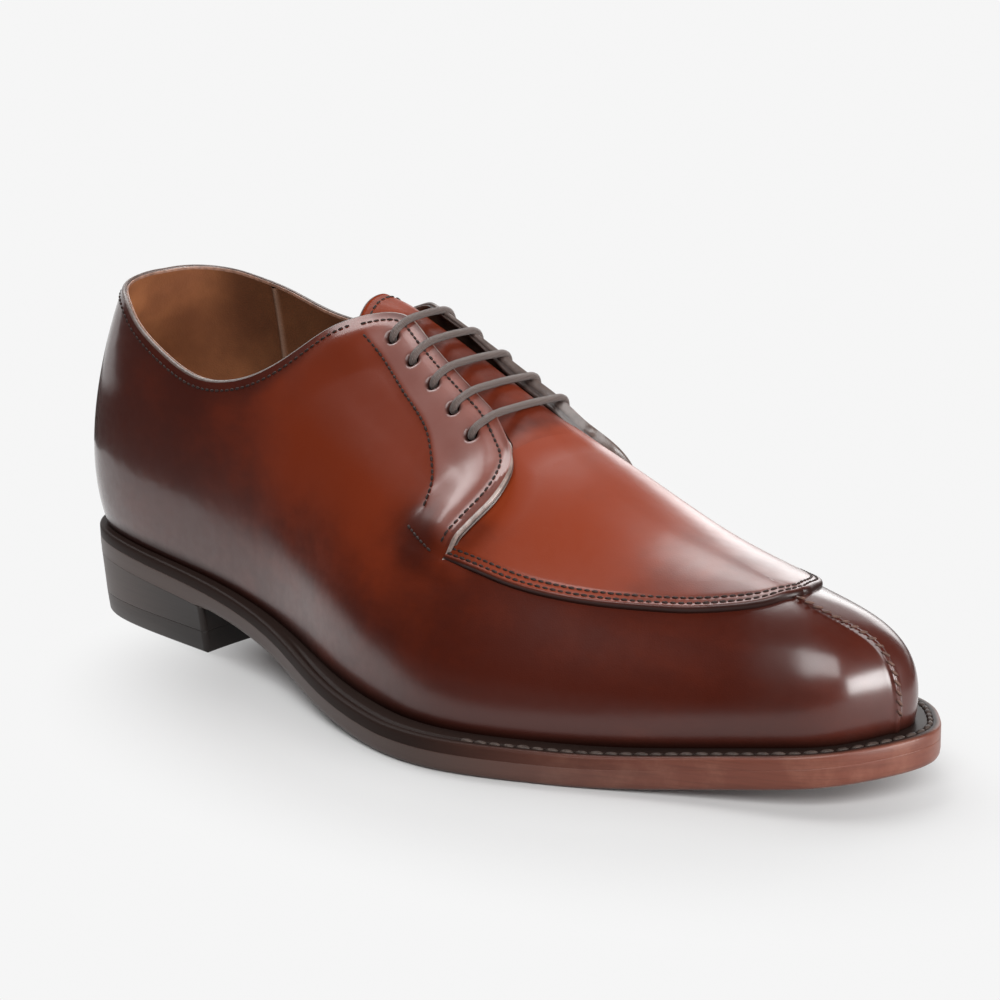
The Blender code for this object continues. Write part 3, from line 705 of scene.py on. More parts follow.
def seam_grid(stations, count):
    """Stations repeated over a row of points, with the level of the apron's seam at each."""
    station = np.repeat(stations[:, None], count, 1)
    return station, table_curve(APRON_SEAM, station)


def low_side(side, stations, rows):
    """Outer and inner points from the rim up to the seam line."""
    station, seam = seam_grid(stations, rows)
    level = seam * np.linspace(0, 1, rows)
    rise = low_side_rise(station, (seam - level) * RIB_LENGTH) + toe_seam_rise(side, station, level)
    rise = rise + facing_valley(station, level)
    outer = skin(side, station, level, rise)
    inner = skin(side, station, level, -SIDE_WALL)
    return outer, inner, station, level


def quarter(side, stations, rows):
    """Outer and inner points from the seam line to the topline and the facing's front edge."""
    share = np.repeat((1 - (1 - np.linspace(0, 1, rows)) ** QUARTER_CROWDING)[None, :], len(stations), 0)
    station, seam = seam_grid(stations, rows)
    top = top_level(side, station)
    level = seam + share * (top - seam)
    depth_top = (top - level) * RIB_LENGTH
    rise = facing_rise(station, share, depth_top) + edge_lift(side, station, depth_top)
    joined = smooth(1 - (THROAT - station) * STATION_PITCH / FACING_JOIN)
    lifted = rise * smooth(share / FACING_LIFT_SHARE)
    under = apron_inner((level - seam) * RIB_LENGTH) + SIDE_WALL
    inner_offset = -SIDE_WALL + lifted * (1 - joined) + under * joined
    place = swing(station, share)
    curl = edge_curl(station, depth_top) * smooth(share / FACING_FOOT_SHARE)
    outer = skin(side, place, level, rise + curl + facing_valley(place, level))
    return outer, skin(side, place, level, inner_offset), place, level


def eyelet_places(side):
    """Middle of each eyelet on the facing's outer face."""
    station = np.array([row.station for row in EYELETS])
    level = np.array([row.level for row in EYELETS])
    depth_top = below_top(side, station, level)
    height = FACING_RISE * EYELET_SEAT + edge_lift(side, station, depth_top) + facing_valley(station, level)
    return skin(side, station, level, height), skin_normal(side, station, level)


def punch_eyelets(side, outer):
    """Draws the facing down into five lace holes with soft lips, and gives the painted shade of each point
    in and around the holes.
    """
    middles, outward = eyelet_places(side)
    deep = np.zeros(outer.shape[:2])
    for middle, direction in zip(middles, outward):
        away = outer - middle
        along = away @ direction
        radius = np.linalg.norm(away - along[..., None] * direction, axis=-1)
        near = np.abs(along) < EYELET_REACH
        sink = smooth(EYELET_DIP - radius / EYELET_RADIUS) * near
        lip = EYELET_LIP * np.exp(-((radius - EYELET_LIP_AT * EYELET_RADIUS) / EYELET_LIP_WIDTH) ** 2) * near
        outer = outer + direction * (lip - EYELET_DEPTH * sink)[..., None]
        deep = np.maximum(deep, smooth(EYELET_SHADE - radius / EYELET_RADIUS) * near)
    return outer, deep


def calf_finish(name, warm, dark, polish):
    """Polished calf: a warm dye under dark rubbed polish and painted shade, with a painted greyish sheen,
    near-black painted shade in recesses, a fine pore relief and a soft wax coat.
    """
    finish = Finish(name, CALF_EVEN_ROUGH, CALF_SPECULAR[0])
    cloud = finish.noise(38.0, 4.0, 0.6)
    streak = finish.noise(120.0, 5.0, 0.65, (0.5, 1.0, 1.6))
    # Rubbed polish and painted shade, from the mesh's darkness, with cloudy and streaky tone.
    rub_and_shade = finish.maths("ADD", finish.attribute("dark"), finish.span(cloud, 0.3, 0.75, -0.16, 0.16))
    rub_and_shade = finish.maths("ADD", rub_and_shade, finish.span(streak, 0.3, 0.75, -0.07, 0.07))
    colour = finish.mix(finish.span(rub_and_shade, 0.0, 1.0, 0.0, 1.0), warm, dark)
    # Painted sheen: the greyish colour mixed in where the mesh asks for it.
    bloom = finish.maths("MULTIPLY", finish.attribute("bloom"), finish.span(cloud, 0.25, 0.75, 0.56, 0.34))
    colour = finish.mix(bloom, colour, PAINTED_SHEEN_CALF)
    # Painted shade: near black where the mesh marks a recess.
    colour = finish.mix(finish.attribute("deep"), colour, PAINTED_SHADE_CALF)
    finish.set("Base Color", colour)
    finish.set("Roughness", finish.span(finish.noise(300.0), 0.3, 0.7, *CALF_ROUGH))
    finish.set("Specular IOR Level", finish.by("matt", *CALF_SPECULAR))
    finish.set("Coat Weight", finish.by("matt", *CALF_COAT))
    finish.set("Coat Roughness", finish.by("mirror", polish, HEEL_POLISH))
    finish.set("Coat IOR", CALF_COAT_IOR)
    soft = finish.relief(finish.noise(95.0, 2.0, 0.5), 0.10)
    finish.set("Normal", finish.relief(finish.cells(2600.0), 0.018, soft))
    finish.put(finish.shader.inputs["Coat Normal"], soft)
    return finish.material


def side_leather():
    work = Patchwork("dark", "deep", "matt", "bloom", "mirror")
    for side in (-1, 1):
        columns = np.concatenate([REAR_COLUMNS, FRONT_COLUMNS[1:]])
        outer, _, station, level = low_side(side, columns, LOW_ROWS)
        outward = skin_normal(side, station[:, :1], level[:, :1])
        foot = outer[:, :1] - outward * LOW_TUCK[0] - (0, 0, LOW_TUCK[1])
        tuck = skin(side, station[:, -1:], level[:, -1:] + APRON_TUCK[0], APRON_TUCK[1])
        behind = station[:, -1] < THROAT
        tuck[behind] = outer[behind, -1:]
        station = np.concatenate([station[:, :1], station], 1)
        level = np.concatenate([level[:, :1], level], 1)
        # Painted shade in a dark band just above the welt, where the upper turns in.
        welt_shade = fade(level * RIB_LENGTH, WELT_SHADOW)
        matt = np.maximum(unpolished(station, level), welt_shade)
        work.grid(np.concatenate([foot, outer], 1), side > 0, dark=burnish_and_shade(side, station, level),
                  deep=welt_shade, matt=matt, mirror=fade(station, HEEL_MIRROR))
        # The strip tucked under the apron's edge is painted dark as the shade there.
        work.grid(np.concatenate([outer[:, -1:], tuck], 1), side > 0, dark=1.0, matt=1.0)
        outer, _, station, level = quarter(side, REAR_COLUMNS, QUARTER_ROWS)
        depth_top = below_top(side, station, level)
        strip = fade(depth_top, FACING_STRIP) * fade(station, FACING_EDGE_BEGIN)
        dark = np.maximum(burnish_and_shade(side, station, level), STRIP_DARKENING * strip)
        outer, deep = punch_eyelets(side, outer)
        matt = np.maximum(np.maximum(deep, STRIP_MATT * strip), unpolished(station, level))
        # Painted sheen over the facing, weaker along its front strip.
        bloom = facing_bloom(station, level) * (1 - STRIP_SHEEN_LOSS * strip)
        work.grid(outer, side > 0, dark=dark, deep=deep, matt=matt, bloom=bloom,
                  mirror=fade(station, HEEL_MIRROR))
    calf = calf_finish("chestnut_calf_polished", WARM_CALF, DARK_CALF, SIDE_POLISH)
    work.build("side_leather", calf, "chestnut_calf", "upper")


side_leather()


# Linings
# Tan leather glued inside the whole upper, with a light joining seam in front of the heel on each side.
# It follows the outer leather one wall thickness in, and closes the inside of the apron.
LINING_TAN = (0.37, 0.142, 0.058)
LINING_SHADE = (0.19, 0.068, 0.030)
# Painted shade inside the shoe: the lining darkens from the heel forward and goes near black under the
# facings.
LINING_PAINTED_SHADE = (0.020, 0.010, 0.007)
SEAM_PALE = (0.50, 0.30, 0.21)
LINING_SEAM_STATION = 2.79
LINING_SEAM_WIDTH = 0.9
LINING_SEAM_RISE = 0.8
LINING_SEAM_REACH = 0.1
LINING_SEAM_COLUMNS = 21
LINING_COLUMNS = (90, 70)
LINING_ROWS = (16, 26, 14)
LINING_SHADED = Fade(1.0, 1.9, 0.6)
LINING_FRONT = Fade(5.2, 0.3)


def lining_finish():
    finish = Finish("lining_leather", roughness=0.5, specular=0.35)
    colour = finish.mix(finish.patches(30.0, 4.0), LINING_TAN, LINING_SHADE)
    colour = finish.mix(finish.attribute("seam"), colour, SEAM_PALE)
    # Painted shade mixed in where the mesh asks for it.
    finish.set("Base Color", finish.mix(finish.attribute("hidden"), colour, LINING_PAINTED_SHADE))
    fold = finish.relief(finish.noise(70.0), 0.25)
    finish.set("Normal", finish.relief(finish.cells(1700.0), 0.05, fold))
    return finish.material


def seamed(side, inner, station, level):
    """Lining points raised at the joining seam, and how much of the seam each point has."""
    seam = np.exp(-((station - LINING_SEAM_STATION) * STATION_PITCH / LINING_SEAM_WIDTH) ** 2)
    return inner - skin_normal(side, station, level) * (LINING_SEAM_RISE * seam)[..., None], seam


def lining():
    work = Patchwork("seam", "hidden")
    near_seam = np.linspace(-LINING_SEAM_REACH, LINING_SEAM_REACH, LINING_SEAM_COLUMNS) + LINING_SEAM_STATION
    rear = np.unique(np.concatenate([np.linspace(0, THROAT, LINING_COLUMNS[0]), near_seam]))
    front = np.linspace(THROAT, TOE, LINING_COLUMNS[1])
    low_rows, quarter_rows, apron_rows = LINING_ROWS
    for side in (-1, 1):
        _, inner, station, level = low_side(side, np.concatenate([rear, front[1:]]), low_rows)
        points, seam = seamed(side, inner, station, level)
        work.grid(points, side < 0, seam=seam)
        _, inner, station, level = quarter(side, rear, quarter_rows)
        points, seam = seamed(side, inner, station, level)
        # Painted shade: darker from the heel forward, near black under the facing's front.
        hidden = np.maximum(fade(station, LINING_FRONT), fade(station, LINING_SHADED))
        work.grid(points, side < 0, seam=seam, hidden=hidden)
        station, bottom = seam_grid(front, apron_rows)
        level = bottom + (1 - bottom) * np.linspace(0, 1, apron_rows)
        work.grid(skin(side, station, level, apron_inner((level - bottom) * RIB_LENGTH)), side < 0)
    work.build("lining", lining_finish(), "insole_tan")


lining()


# Collar and facing edges
# The cut edges of the outer leather and its lining, waxed, all round the collar and down each facing.
# Two rounded beads lie side by side: dark leather outside and the paler lining inside.
EDGE_DARK = (0.030, 0.018, 0.015)
EDGE_BROWN = (0.100, 0.066, 0.056)
EDGE_GREY = (0.26, 0.195, 0.170)
EDGE_PALE = (0.31, 0.165, 0.115)
EDGE_BULGE = 0.85
EDGE_SPLIT = 0.66
EDGE_BULGE_POWER = 0.6
EDGE_BULGE_LEAST = 0.25
EDGE_EASE = 4
EDGE_SHADE = {-1: 0.0, 1: 0.7}
FLARE_EDGE_THICK = {-1: 2.5, 1: 4.2}
FLARE_EDGE_TURN = {-1: Fade(6.7, 0.8), 1: Fade(6.0, 0.8)}
EDGE_POINTS = 15


def edge_finish():
    finish = Finish("waxed_edge", roughness=0.38, specular=0.5)
    across = finish.attribute("across")
    collar = finish.mix(finish.span(across, 0.50, 0.56, 0.0, 1.0), EDGE_BROWN, EDGE_PALE)
    off_middle = finish.maths("ABSOLUTE", finish.maths("SUBTRACT", across, 0.5))
    slit = finish.span(off_middle, 0.03, 0.12, 1.0, 0.0)
    layers = finish.mix(finish.span(across, 0.50, 0.60, 0.0, 1.0), EDGE_GREY, EDGE_BROWN)
    facing = finish.mix(slit, layers, EDGE_DARK)
    colour = finish.mix(finish.attribute("facing"), collar, facing)
    colour = finish.mix(finish.attribute("shaded"), colour, EDGE_DARK)
    rubbed = finish.patches(420.0, 4.0, 0.5)
    finish.set("Base Color", finish.mix(rubbed, colour, EDGE_DARK))
    finish.set("Normal", finish.relief(finish.noise(900.0, 4.0), 0.07))
    finish.set("Coat Weight", 0.3)
    finish.set("Coat Roughness", 0.25)
    return finish.material


def edge_beads(outer, inner, outward):
    """Two beads from the outer to the inner edge of a wall, bulging outward."""
    across = np.linspace(0, 1, EDGE_POINTS)
    bulge = EDGE_BULGE * np.abs(np.sin(2 * np.pi * across)) ** EDGE_BULGE_POWER
    bulge = np.maximum(bulge, EDGE_BULGE_LEAST * EDGE_BULGE * np.sin(np.pi * across))
    share = np.interp(across, [0, 0.5, 1], [0, EDGE_SPLIT, 1])
    line = outer[:, None] * (1 - share)[None, :, None] + inner[:, None] * share[None, :, None]
    return line + outward[:, None] * bulge[None, :, None], np.repeat(across[None, :], len(outer), 0)


def eased(vectors, width):
    """Moving average of vectors along a path."""
    padded = np.concatenate([np.repeat(vectors[:1], width, 0), vectors, np.repeat(vectors[-1:], width, 0)])
    kernel = np.ones(2 * width + 1) / (2 * width + 1)
    return np.stack([np.convolve(padded[:, k], kernel, "valid") for k in range(3)], 1)


def collar_edges():
    work = Patchwork("across", "facing", "shaded")
    for side in (-1, 1):
        columns = REAR_COLUMNS
        outer, inner, station, level = quarter(side, columns, QUARTER_ROWS)
        thick = FLARE_EDGE_THICK[side] * skin_normal(side, station, level)
        turned = fade(columns, FLARE_EDGE_TURN[side])[:, None]
        top_inner = inner[:, -1] * (1 - turned) + (outer[:, -1] - thick[:, -1]) * turned
        path = np.concatenate([outer[:, -1], outer[-1, -2::-1]])
        under = np.concatenate([top_inner, (outer[-1] - thick[-1])[-2::-1]])
        outward = np.concatenate([outer[:, -1] - outer[:, -3], (outer[-1] - outer[-3])[-2::-1]])
        beads, across = edge_beads(path, under, unit(eased(unit(outward), EDGE_EASE)))
        facing = np.concatenate([fade(columns, FACING_EDGE_BEGIN), np.ones(QUARTER_ROWS - 1)])[:, None]
        work.grid(beads, side > 0, across=across, facing=facing, shaded=EDGE_SHADE[side] * facing)
    work.build("collar_and_facing_edges", edge_finish(), "chestnut_calf")


collar_edges()


# Apron and tongue
# One piece of calf with a turned edge, lapped over the side leathers; under the lace it is the tongue.
# Sewn along its edge by two rows; the tongue's free top is lined and rounded.
APRON_EDGE_ROUND = 1.3
APRON_EDGE_DROP = 1.7
APRON_EDGE_ROLL = 0.22
APRON_ROLL_AT = 1.3
APRON_ROLL_WIDTH = 0.7
APRON_BAND = 9.0
APRON_BAND_MOST = 0.8
APRON_BAND_STEPS = (0.0, 0.12, 0.3, 0.55, 0.85, 1.2, 1.6, 2.0, 2.5, 3.0, 3.45, 3.9, 4.4, 4.9, 5.6, 7.0)
APRON_INNER_ROWS = 44
APRON_FINE_ROWS = 160
STITCH_ROWS = (2.2, 3.8)
STITCH_TROUGH = 0.16
STITCH_TROUGH_WIDTH = 0.42
TONGUE_WALL = 1.8
TONGUE_WING = 13.0
TONGUE_SINK = 1.4
TONGUE_DROP = 0.25
TONGUE_TOP = 5.14
TONGUE_ROUND = 0.2
TONGUE_NARROW = Fade(7.1, -0.5)
TONGUE_CLEAR = Fade(6.9, 0.3, 0.016)
TONGUE_CLEAR_END = 0.05
TONGUE_BARE_SHARE = 1.5
TONGUE_MEET = Fade(7.2, 0.3)
TONGUE_ALONG = 70
TONGUE_ACROSS = 40
APRON_WARM = (0.185, 0.0270, 0.0076)
APRON_DARK = (0.060, 0.0100, 0.0052)
APRON_POLISH = 0.28
APRON_TOE_RUB = Fade(8.3, 2.2, 0.7)
APRON_EDGE_RUB = Fade(2.2, -2.2, 0.85)
# Painted shade on the apron beside the throat, low down where the facings lap it.
THROAT_SHADE = Fade(8.3, -0.9, 0.6)
THROAT_SHADE_LEVEL = Fade(0.72, -0.2)
APRON_EDGE_SHADE = 1.35
APRON_EDGE_SHADOW = 0.85
APRON_EDGE_MATT = 0.6
THROAT_MATT = Fade(8.1, -0.5, 0.8)
VAMP_MATT = Fade(9.2, -0.9, 0.44)
APRON_PAINTED_SHEEN = Fade(8.5, 1.6, 0.25)
TONGUE_DARKENING = 0.3
TONGUE_MATT = 0.85
TONGUE_SHADE = Fade(5.5, 0.3, 0.4)
TONGUE_SHADE_END = Fade(7.45, -0.2)


def apron_frame(side, stations):
    """Levels from the apron's seam to the ridge by distance from its edge, for each station."""
    fine = np.linspace(0, 1, APRON_FINE_ROWS)
    station, bottom = seam_grid(stations, APRON_FINE_ROWS)
    throat_bottom = table_curve(APRON_SEAM, THROAT)
    throat_share = (top_level(side, THROAT) - throat_bottom) / (1 - throat_bottom)
    level = bottom + (1 - bottom) * fine
    place = swing(station, fine / throat_share)
    points = skin(side, place, level, APRON_RISE)
    run = np.linalg.norm(np.diff(points, axis=1), axis=2)
    length = np.concatenate([np.zeros((len(stations), 1)), np.cumsum(run, 1)], 1)
    band = np.array(APRON_BAND_STEPS)
    inside = np.linspace(0, 1, APRON_INNER_ROWS)
    share = np.zeros((len(stations), len(band) + len(inside)))
    away = np.zeros_like(share)
    for k in range(len(stations)):
        full = length[k, -1]
        reach = min(APRON_BAND, APRON_BAND_MOST * full)
        away[k] = np.concatenate([band * reach / APRON_BAND, reach + (full - reach) * inside])
        share[k] = np.interp(away[k], length[k], fine)
    share[:, -1] = 1.0
    return share, away, throat_share


def apron_places(side):
    """Station, place and level of the apron's points, and how far each lies from the apron's edge."""
    share, away, throat_share = apron_frame(side, FRONT_COLUMNS)
    station, bottom = seam_grid(FRONT_COLUMNS, share.shape[1])
    level = np.minimum(bottom + (1 - bottom) * share, 1.0)
    return station, swing(station, share / throat_share), level, away


def apron_profile(away):
    """Height over the last across the apron's turned edge and its two sewn rows."""
    turn = np.clip(1 - away / APRON_EDGE_ROUND, 0, 1)
    edge = APRON_EDGE_DROP * (1 - np.sqrt(np.maximum(1 - turn ** 2, 0)))
    roll = APRON_EDGE_ROLL * np.exp(-((away - APRON_ROLL_AT) / APRON_ROLL_WIDTH) ** 2)
    rows = sum(np.exp(-((away - row) / STITCH_TROUGH_WIDTH) ** 2) for row in STITCH_ROWS)
    return APRON_RISE - edge + roll - STITCH_TROUGH * rows


def apron_burnish_and_shade(station, level, away):
    """The apron is rubbed dark at its toe and along its edge, and painted with shade beside the throat."""
    throat = fade(station, THROAT_SHADE) * fade(level, THROAT_SHADE_LEVEL)
    return 1 - (1 - fade(station, APRON_TOE_RUB)) * (1 - fade(away, APRON_EDGE_RUB)) * (1 - throat)


def tongue_outer():
    """Place, level and height of the tongue's points, from its side edge, out of sight under the facing,
    over to the ridge.
    """
    shares = np.linspace(0, 1, TONGUE_ACROSS)
    run = np.linspace(0, 1, TONGUE_ALONG)[:, None]
    top = TONGUE_TOP + TONGUE_ROUND * (1 - shares) ** 2
    station = top * (1 - run) + THROAT * run
    edge = top_level(-1, station)
    under = TONGUE_WING / RIB_LENGTH * fade(station, TONGUE_NARROW)
    low = edge - under + fade(station, TONGUE_CLEAR) * smooth((THROAT - station) / TONGUE_CLEAR_END)
    level = np.minimum(low + (1 - low) * shares, 1.0)
    seam = table_curve(APRON_SEAM, station)
    share = np.clip((level - seam) / (edge - seam), 0, 1)
    rise = facing_rise(station, share, np.maximum(edge - level, 0) * RIB_LENGTH)
    facing_inner = -SIDE_WALL + rise * smooth(share / FACING_LIFT_SHARE)
    bare = smooth(TONGUE_BARE_SHARE * (level - edge) / (1 - edge))
    offset = facing_inner - TONGUE_SINK * (1 - bare) - TONGUE_DROP * bare
    meet = fade(station, TONGUE_MEET)
    offset = offset * (1 - meet) + APRON_RISE * meet
    return swing(station, share), level, offset, station


def apron_and_tongue():
    work = Patchwork("dark", "deep", "matt", "bloom", "mirror")
    for side in (-1, 1):
        station, place, level, away = apron_places(side)
        # The turned edge is inked dark by its rub, and painted near black right at the edge as its shade.
        edge = smooth(APRON_EDGE_SHADE - away / APRON_EDGE_ROUND)
        dull = np.maximum(fade(station, THROAT_MATT), fade(station, VAMP_MATT))
        # Painted sheen over the apron's front, for the reflection of the pale backdrop.
        work.grid(skin(side, place, level, apron_profile(away)), side > 0, deep=APRON_EDGE_SHADOW * edge,
                  dark=apron_burnish_and_shade(station, level, away), matt=np.maximum(APRON_EDGE_MATT * edge, dull),
                  bloom=fade(station, APRON_PAINTED_SHEEN) * (1 - edge))
        place, level, offset, station = tongue_outer()
        # Painted shade on the tongue where it lies under the laces and the facings, over a tongue a little
        # darker all over.
        hidden = fade(station, TONGUE_SHADE) * fade(station, TONGUE_SHADE_END)
        outer = skin(side, place, level, offset)
        inner = skin(side, place, level, offset - TONGUE_WALL)
        work.grid(outer, side > 0, dark=TONGUE_DARKENING + hidden, matt=TONGUE_MATT)
        # The tongue's underside is painted dark as the shade inside the shoe.
        work.grid(inner, side < 0, dark=1.0, matt=1.0)
        beads, _ = edge_beads(outer[0], inner[0], unit(outer[0] - outer[2]))
        work.grid(beads, side < 0, dark=1.0)
    calf = calf_finish("apron_calf_polished", APRON_WARM, APRON_DARK, APRON_POLISH)
    work.build("apron_and_tongue", calf, "tongue_calf", "tongue")


apron_and_tongue()


# Welt
# A flat leather strip sewn to the upper's lower edge, stained dark on top and painted near black there as
# the shade under the upper.
# It shows as a narrow ledge all round, wider from the waist forward, with a groove for its stitches.
WELT_STAIN_AND_SHADE = (0.020, 0.0120, 0.0100)
SOLE_GREY = (0.056, 0.034, 0.028)
SOLE_RED = (0.124, 0.036, 0.022)
SOLE_SCUFF = (0.20, 0.080, 0.053)
SOLE_DARKER = 0.6
SOLE_ROUGH = 0.4
SOLE_SPECULAR = (0.28, 0.04)
SOLE_COAT = (0.12, 0.0)
EDGE_STAIN = Fade(10.6, -2.9)
WELT_COLUMNS = stations_in((0.0, 8.0, 120), (8.0, TOE, 140))
WELT_EDGE = ((0.02, 0.02), (0.0, 0.4), (0.0, 2.5), (0.18, 2.95), (0.5, 3.25))
WELT_GROOVE_INSET = 2.6
WELT_GROOVE_MOST = 0.55
WELT_GROOVE_HALF = 0.8
WELT_GROOVE = Fade(4.5, 1.5, 0.55)
WELT_GROOVE_ROWS = ((-1.6, 0.0), (-1.0, 0.05), (-0.6, 0.5), (-0.25, 0.95),
                    (0.25, 1.0), (0.6, 0.55), (1.0, 0.1), (1.5, 0.0))
WELT_UNDER = 1.5
WELT_TOP_ROW = 3
WELT_TOP_BLEND = 2.0


def sole_finish(name, stain_and_shade):
    """Inked and waxed leather edge with rubbed patches and fine fibre lines along the layers."""
    finish = Finish(name, SOLE_ROUGH)
    patch = finish.span(finish.noise(60.0, 5.0, 0.65), 0.45, 0.75, 0.0, 0.8)
    fibre = finish.noise(260.0, 4.0, 0.6, (0.25, 0.25, 5.0))
    base = finish.mix(patch, SOLE_RED, SOLE_SCUFF)
    base = finish.mix(finish.span(fibre, 0.4, 0.75, 0.0, 0.45), base, darkened(SOLE_RED, SOLE_DARKER))
    finish.set("Base Color", finish.mix(finish.attribute("dark"), base, stain_and_shade))
    finish.set("Normal", finish.relief(fibre, 0.04))
    finish.set("Specular IOR Level", finish.by("flat", *SOLE_SPECULAR))
    finish.set("Coat Weight", finish.by("flat", *SOLE_COAT))
    finish.set("Coat Roughness", 0.28)
    return finish.material


def welt():
    columns = WELT_COLUMNS
    level = np.ones(len(columns))
    work = Patchwork("dark", "flat")
    for side in (-1, 1):
        width = np.linalg.norm(edge_line(side, columns, 0.0) - rim_line(side, columns, 0.0), axis=1)
        groove = np.minimum(WELT_GROOVE_INSET, WELT_GROOVE_MOST * width)
        half = WELT_GROOVE_HALF * np.minimum(groove / WELT_GROOVE_INSET, 1)
        rows = [(inset * level, height * level) for inset, height in WELT_EDGE]
        for away, sink in WELT_GROOVE_ROWS:
            rows.append((groove + away * half, WELT_THICK - sink * fade(width, WELT_GROOVE)))
        rows.append((width + WELT_UNDER, WELT_THICK * level))
        points = rows_on_sole(edge_line, side, columns, rows, OUTSOLE_THICK)
        # The welt's top is painted near black as the shade under the upper; behind the ball its edge is
        # stained.
        top_shade = np.clip((np.arange(len(rows)) - WELT_TOP_ROW) / WELT_TOP_BLEND, 0, 1)
        stain_and_shade = np.maximum(top_shade[None, :], fade(columns, EDGE_STAIN)[:, None])
        work.grid(points, side > 0, dark=stain_and_shade, flat=stain_and_shade)
    work.build("welt_strip", sole_finish("welt_leather", WELT_STAIN_AND_SHADE), "welt_brown", "welt")


welt()


# Outsole
# A leather sole of even thickness, sewn to the welt, with arch and toe spring.
# Its edge is trimmed flush with the welt, inked red brown and waxed; its underside is plain.
OUTSOLE_EDGE = ((2.2, 0.0), (1.1, 0.08), (0.5, 0.45), (0.15, 1.1), (0.0, 2.2), (0.0, 4.4), (0.0, 5.0),
                (0.02, OUTSOLE_THICK))
OUTSOLE_COLUMNS = 260
OUTSOLE_ACROSS = 30
SEAT_INSET = 0.1
SEAT_END = Fade(3.55, 0.3)


def outsole():
    columns = np.linspace(0, TOE, OUTSOLE_COLUMNS)
    work = Patchwork("dark", "flat")
    rounded = fade(columns, SEAT_END)
    rows = []
    for inset, height in OUTSOLE_EDGE:
        if inset > SEAT_INSET:
            inset = SEAT_INSET + (inset - SEAT_INSET) * rounded
        rows.append((inset, height))
    rings = {}
    for side in (-1, 1):
        rings[side] = rows_on_sole(edge_line, side, columns, rows, 0.0)
        work.grid(rings[side], side > 0, dark=fade(columns, EDGE_STAIN)[:, None])
    close_rings(work, rings, OUTSOLE_ACROSS)
    work.build("leather_sole", sole_finish("sole_leather", SOLE_GREY), "edge_brown", "outsole")


outsole()


# Heel stack and top lift
# Leather lifts glued up under the seat and trimmed to a slight taper, stained almost black.
# A rubber top lift under them stands on the floor; the breast is hollowed a little.
HEEL_BREAST_X = 79.0
BREAST_HOLLOW = 3.0
TOP_LIFT_THICK = 6.5
STACK_BLACK = (0.058, 0.042, 0.037)
STACK_BROWN = (0.070, 0.049, 0.043)
RUBBER_BLACK = (0.042, 0.032, 0.029)
# Painted shade: the heel's wall darkens towards the breast.
HEEL_PAINTED_SHADE = (0.012, 0.009, 0.008)
HEEL_SHADE_RAMP = Fade(12.0, 66.0, 0.9)
HEEL_SPECULAR = 0.28
STACK_ROUGH = 0.42
RUBBER_ROUGH = 0.45
HEEL_MIDDLE = (45.0, 0.0)
HEEL_SIDE_POINTS = 60
HEEL_BREAST_POINTS = 31
HEEL_FACE_ROWS = 14
STACK_GAP = 0.05
LiftRow = namedtuple("LiftRow", "share inset")
STACK_ROWS = [
    LiftRow(0.0, 0.98), LiftRow(0.02, 0.96), LiftRow(0.35, 0.70), LiftRow(0.68, 0.42),
    LiftRow(0.98, 0.14), LiftRow(1.0, 0.12),
]
LIFT_ROWS = [
    LiftRow(0.0, 1.9), LiftRow(0.06, 1.6), LiftRow(0.5, 1.3), LiftRow(0.97, 1.0), LiftRow(1.0, 1.02),
]


def heel_finish(name, colour, other, roughness):
    finish = Finish(name, roughness, HEEL_SPECULAR)
    layer = finish.noise(300.0, 3.0, 0.6, (0.15, 0.15, 4.0))
    leather = finish.mix(finish.span(layer, 0.4, 0.75, 0.0, 1.0), colour, other)
    # Painted shade mixed in where the mesh asks for it.
    finish.set("Base Color", finish.mix(finish.attribute("dark"), leather, HEEL_PAINTED_SHADE))
    finish.set("Normal", finish.relief(layer, 0.03))
    return finish.material


def heel_ring(inset):
    """Heel outline: the outer side from the back, the hollowed breast, then the inner side to the back."""
    fine = np.linspace(0, THROAT, CURVE_STEPS * TOE)
    sides = []
    for side in (-1, 1):
        along = edge_line(side, fine, 0.0)
        breast = np.interp(HEEL_BREAST_X, along[:, 0], fine)
        sides.append(edge_line(side, np.linspace(0, breast, HEEL_SIDE_POINTS), inset))
    across = np.linspace(-1, 1, HEEL_BREAST_POINTS)
    mix = (across[:, None] + 1) / 2
    breast = sides[0][-1] * (1 - mix) + sides[1][-1] * mix
    breast[:, 0] = breast[:, 0] - BREAST_HOLLOW * (1 - across ** 2)
    return np.vstack([sides[0], breast[1:-1], sides[1][::-1]])


def heel_block(name, rows, low, high, finish, slot, node):
    """A block between two faces, with a wall that follows the heel's outline."""
    work = Patchwork("dark")
    points = []
    for row in rows:
        ring = heel_ring(row.inset)
        height = low(ring[:, 0]) * (1 - row.share) + high(ring[:, 0]) * row.share
        points.append(np.column_stack([ring, height]))
    wall = np.stack(points, 1)
    # Painted shade on the wall, darker towards the breast.
    work.grid(wall, dark=fade(wall[..., 0], HEEL_SHADE_RAMP))
    middle = np.array(HEEL_MIDDLE)
    shrink = np.linspace(1, 0, HEEL_FACE_ROWS)[None, :, None]
    for row, flip, face in ((0, True, low), (-1, False, high)):
        plan = middle + (wall[:, row, None, :2] - middle) * shrink
        work.grid(np.concatenate([plan, face(plan[..., 0])[..., None]], 2), flip)
    work.build(name, finish, slot, node)


def level_face(height):
    """A face of a heel block that lies level."""
    return lambda x: np.full_like(x, height)


heel_block("stacked_heel", STACK_ROWS, level_face(TOP_LIFT_THICK + STACK_GAP), sole_low,
           heel_finish("stacked_leather", STACK_BROWN, STACK_BLACK, STACK_ROUGH), "heel_stack_dark",
           "heel_stack")
heel_block("rubber_top_lift", LIFT_ROWS, level_face(0.0), level_face(TOP_LIFT_THICK),
           heel_finish("top_lift_black", RUBBER_BLACK, STACK_BLACK, RUBBER_ROUGH), "top_lift_rubber",
           "heel_top_lift")


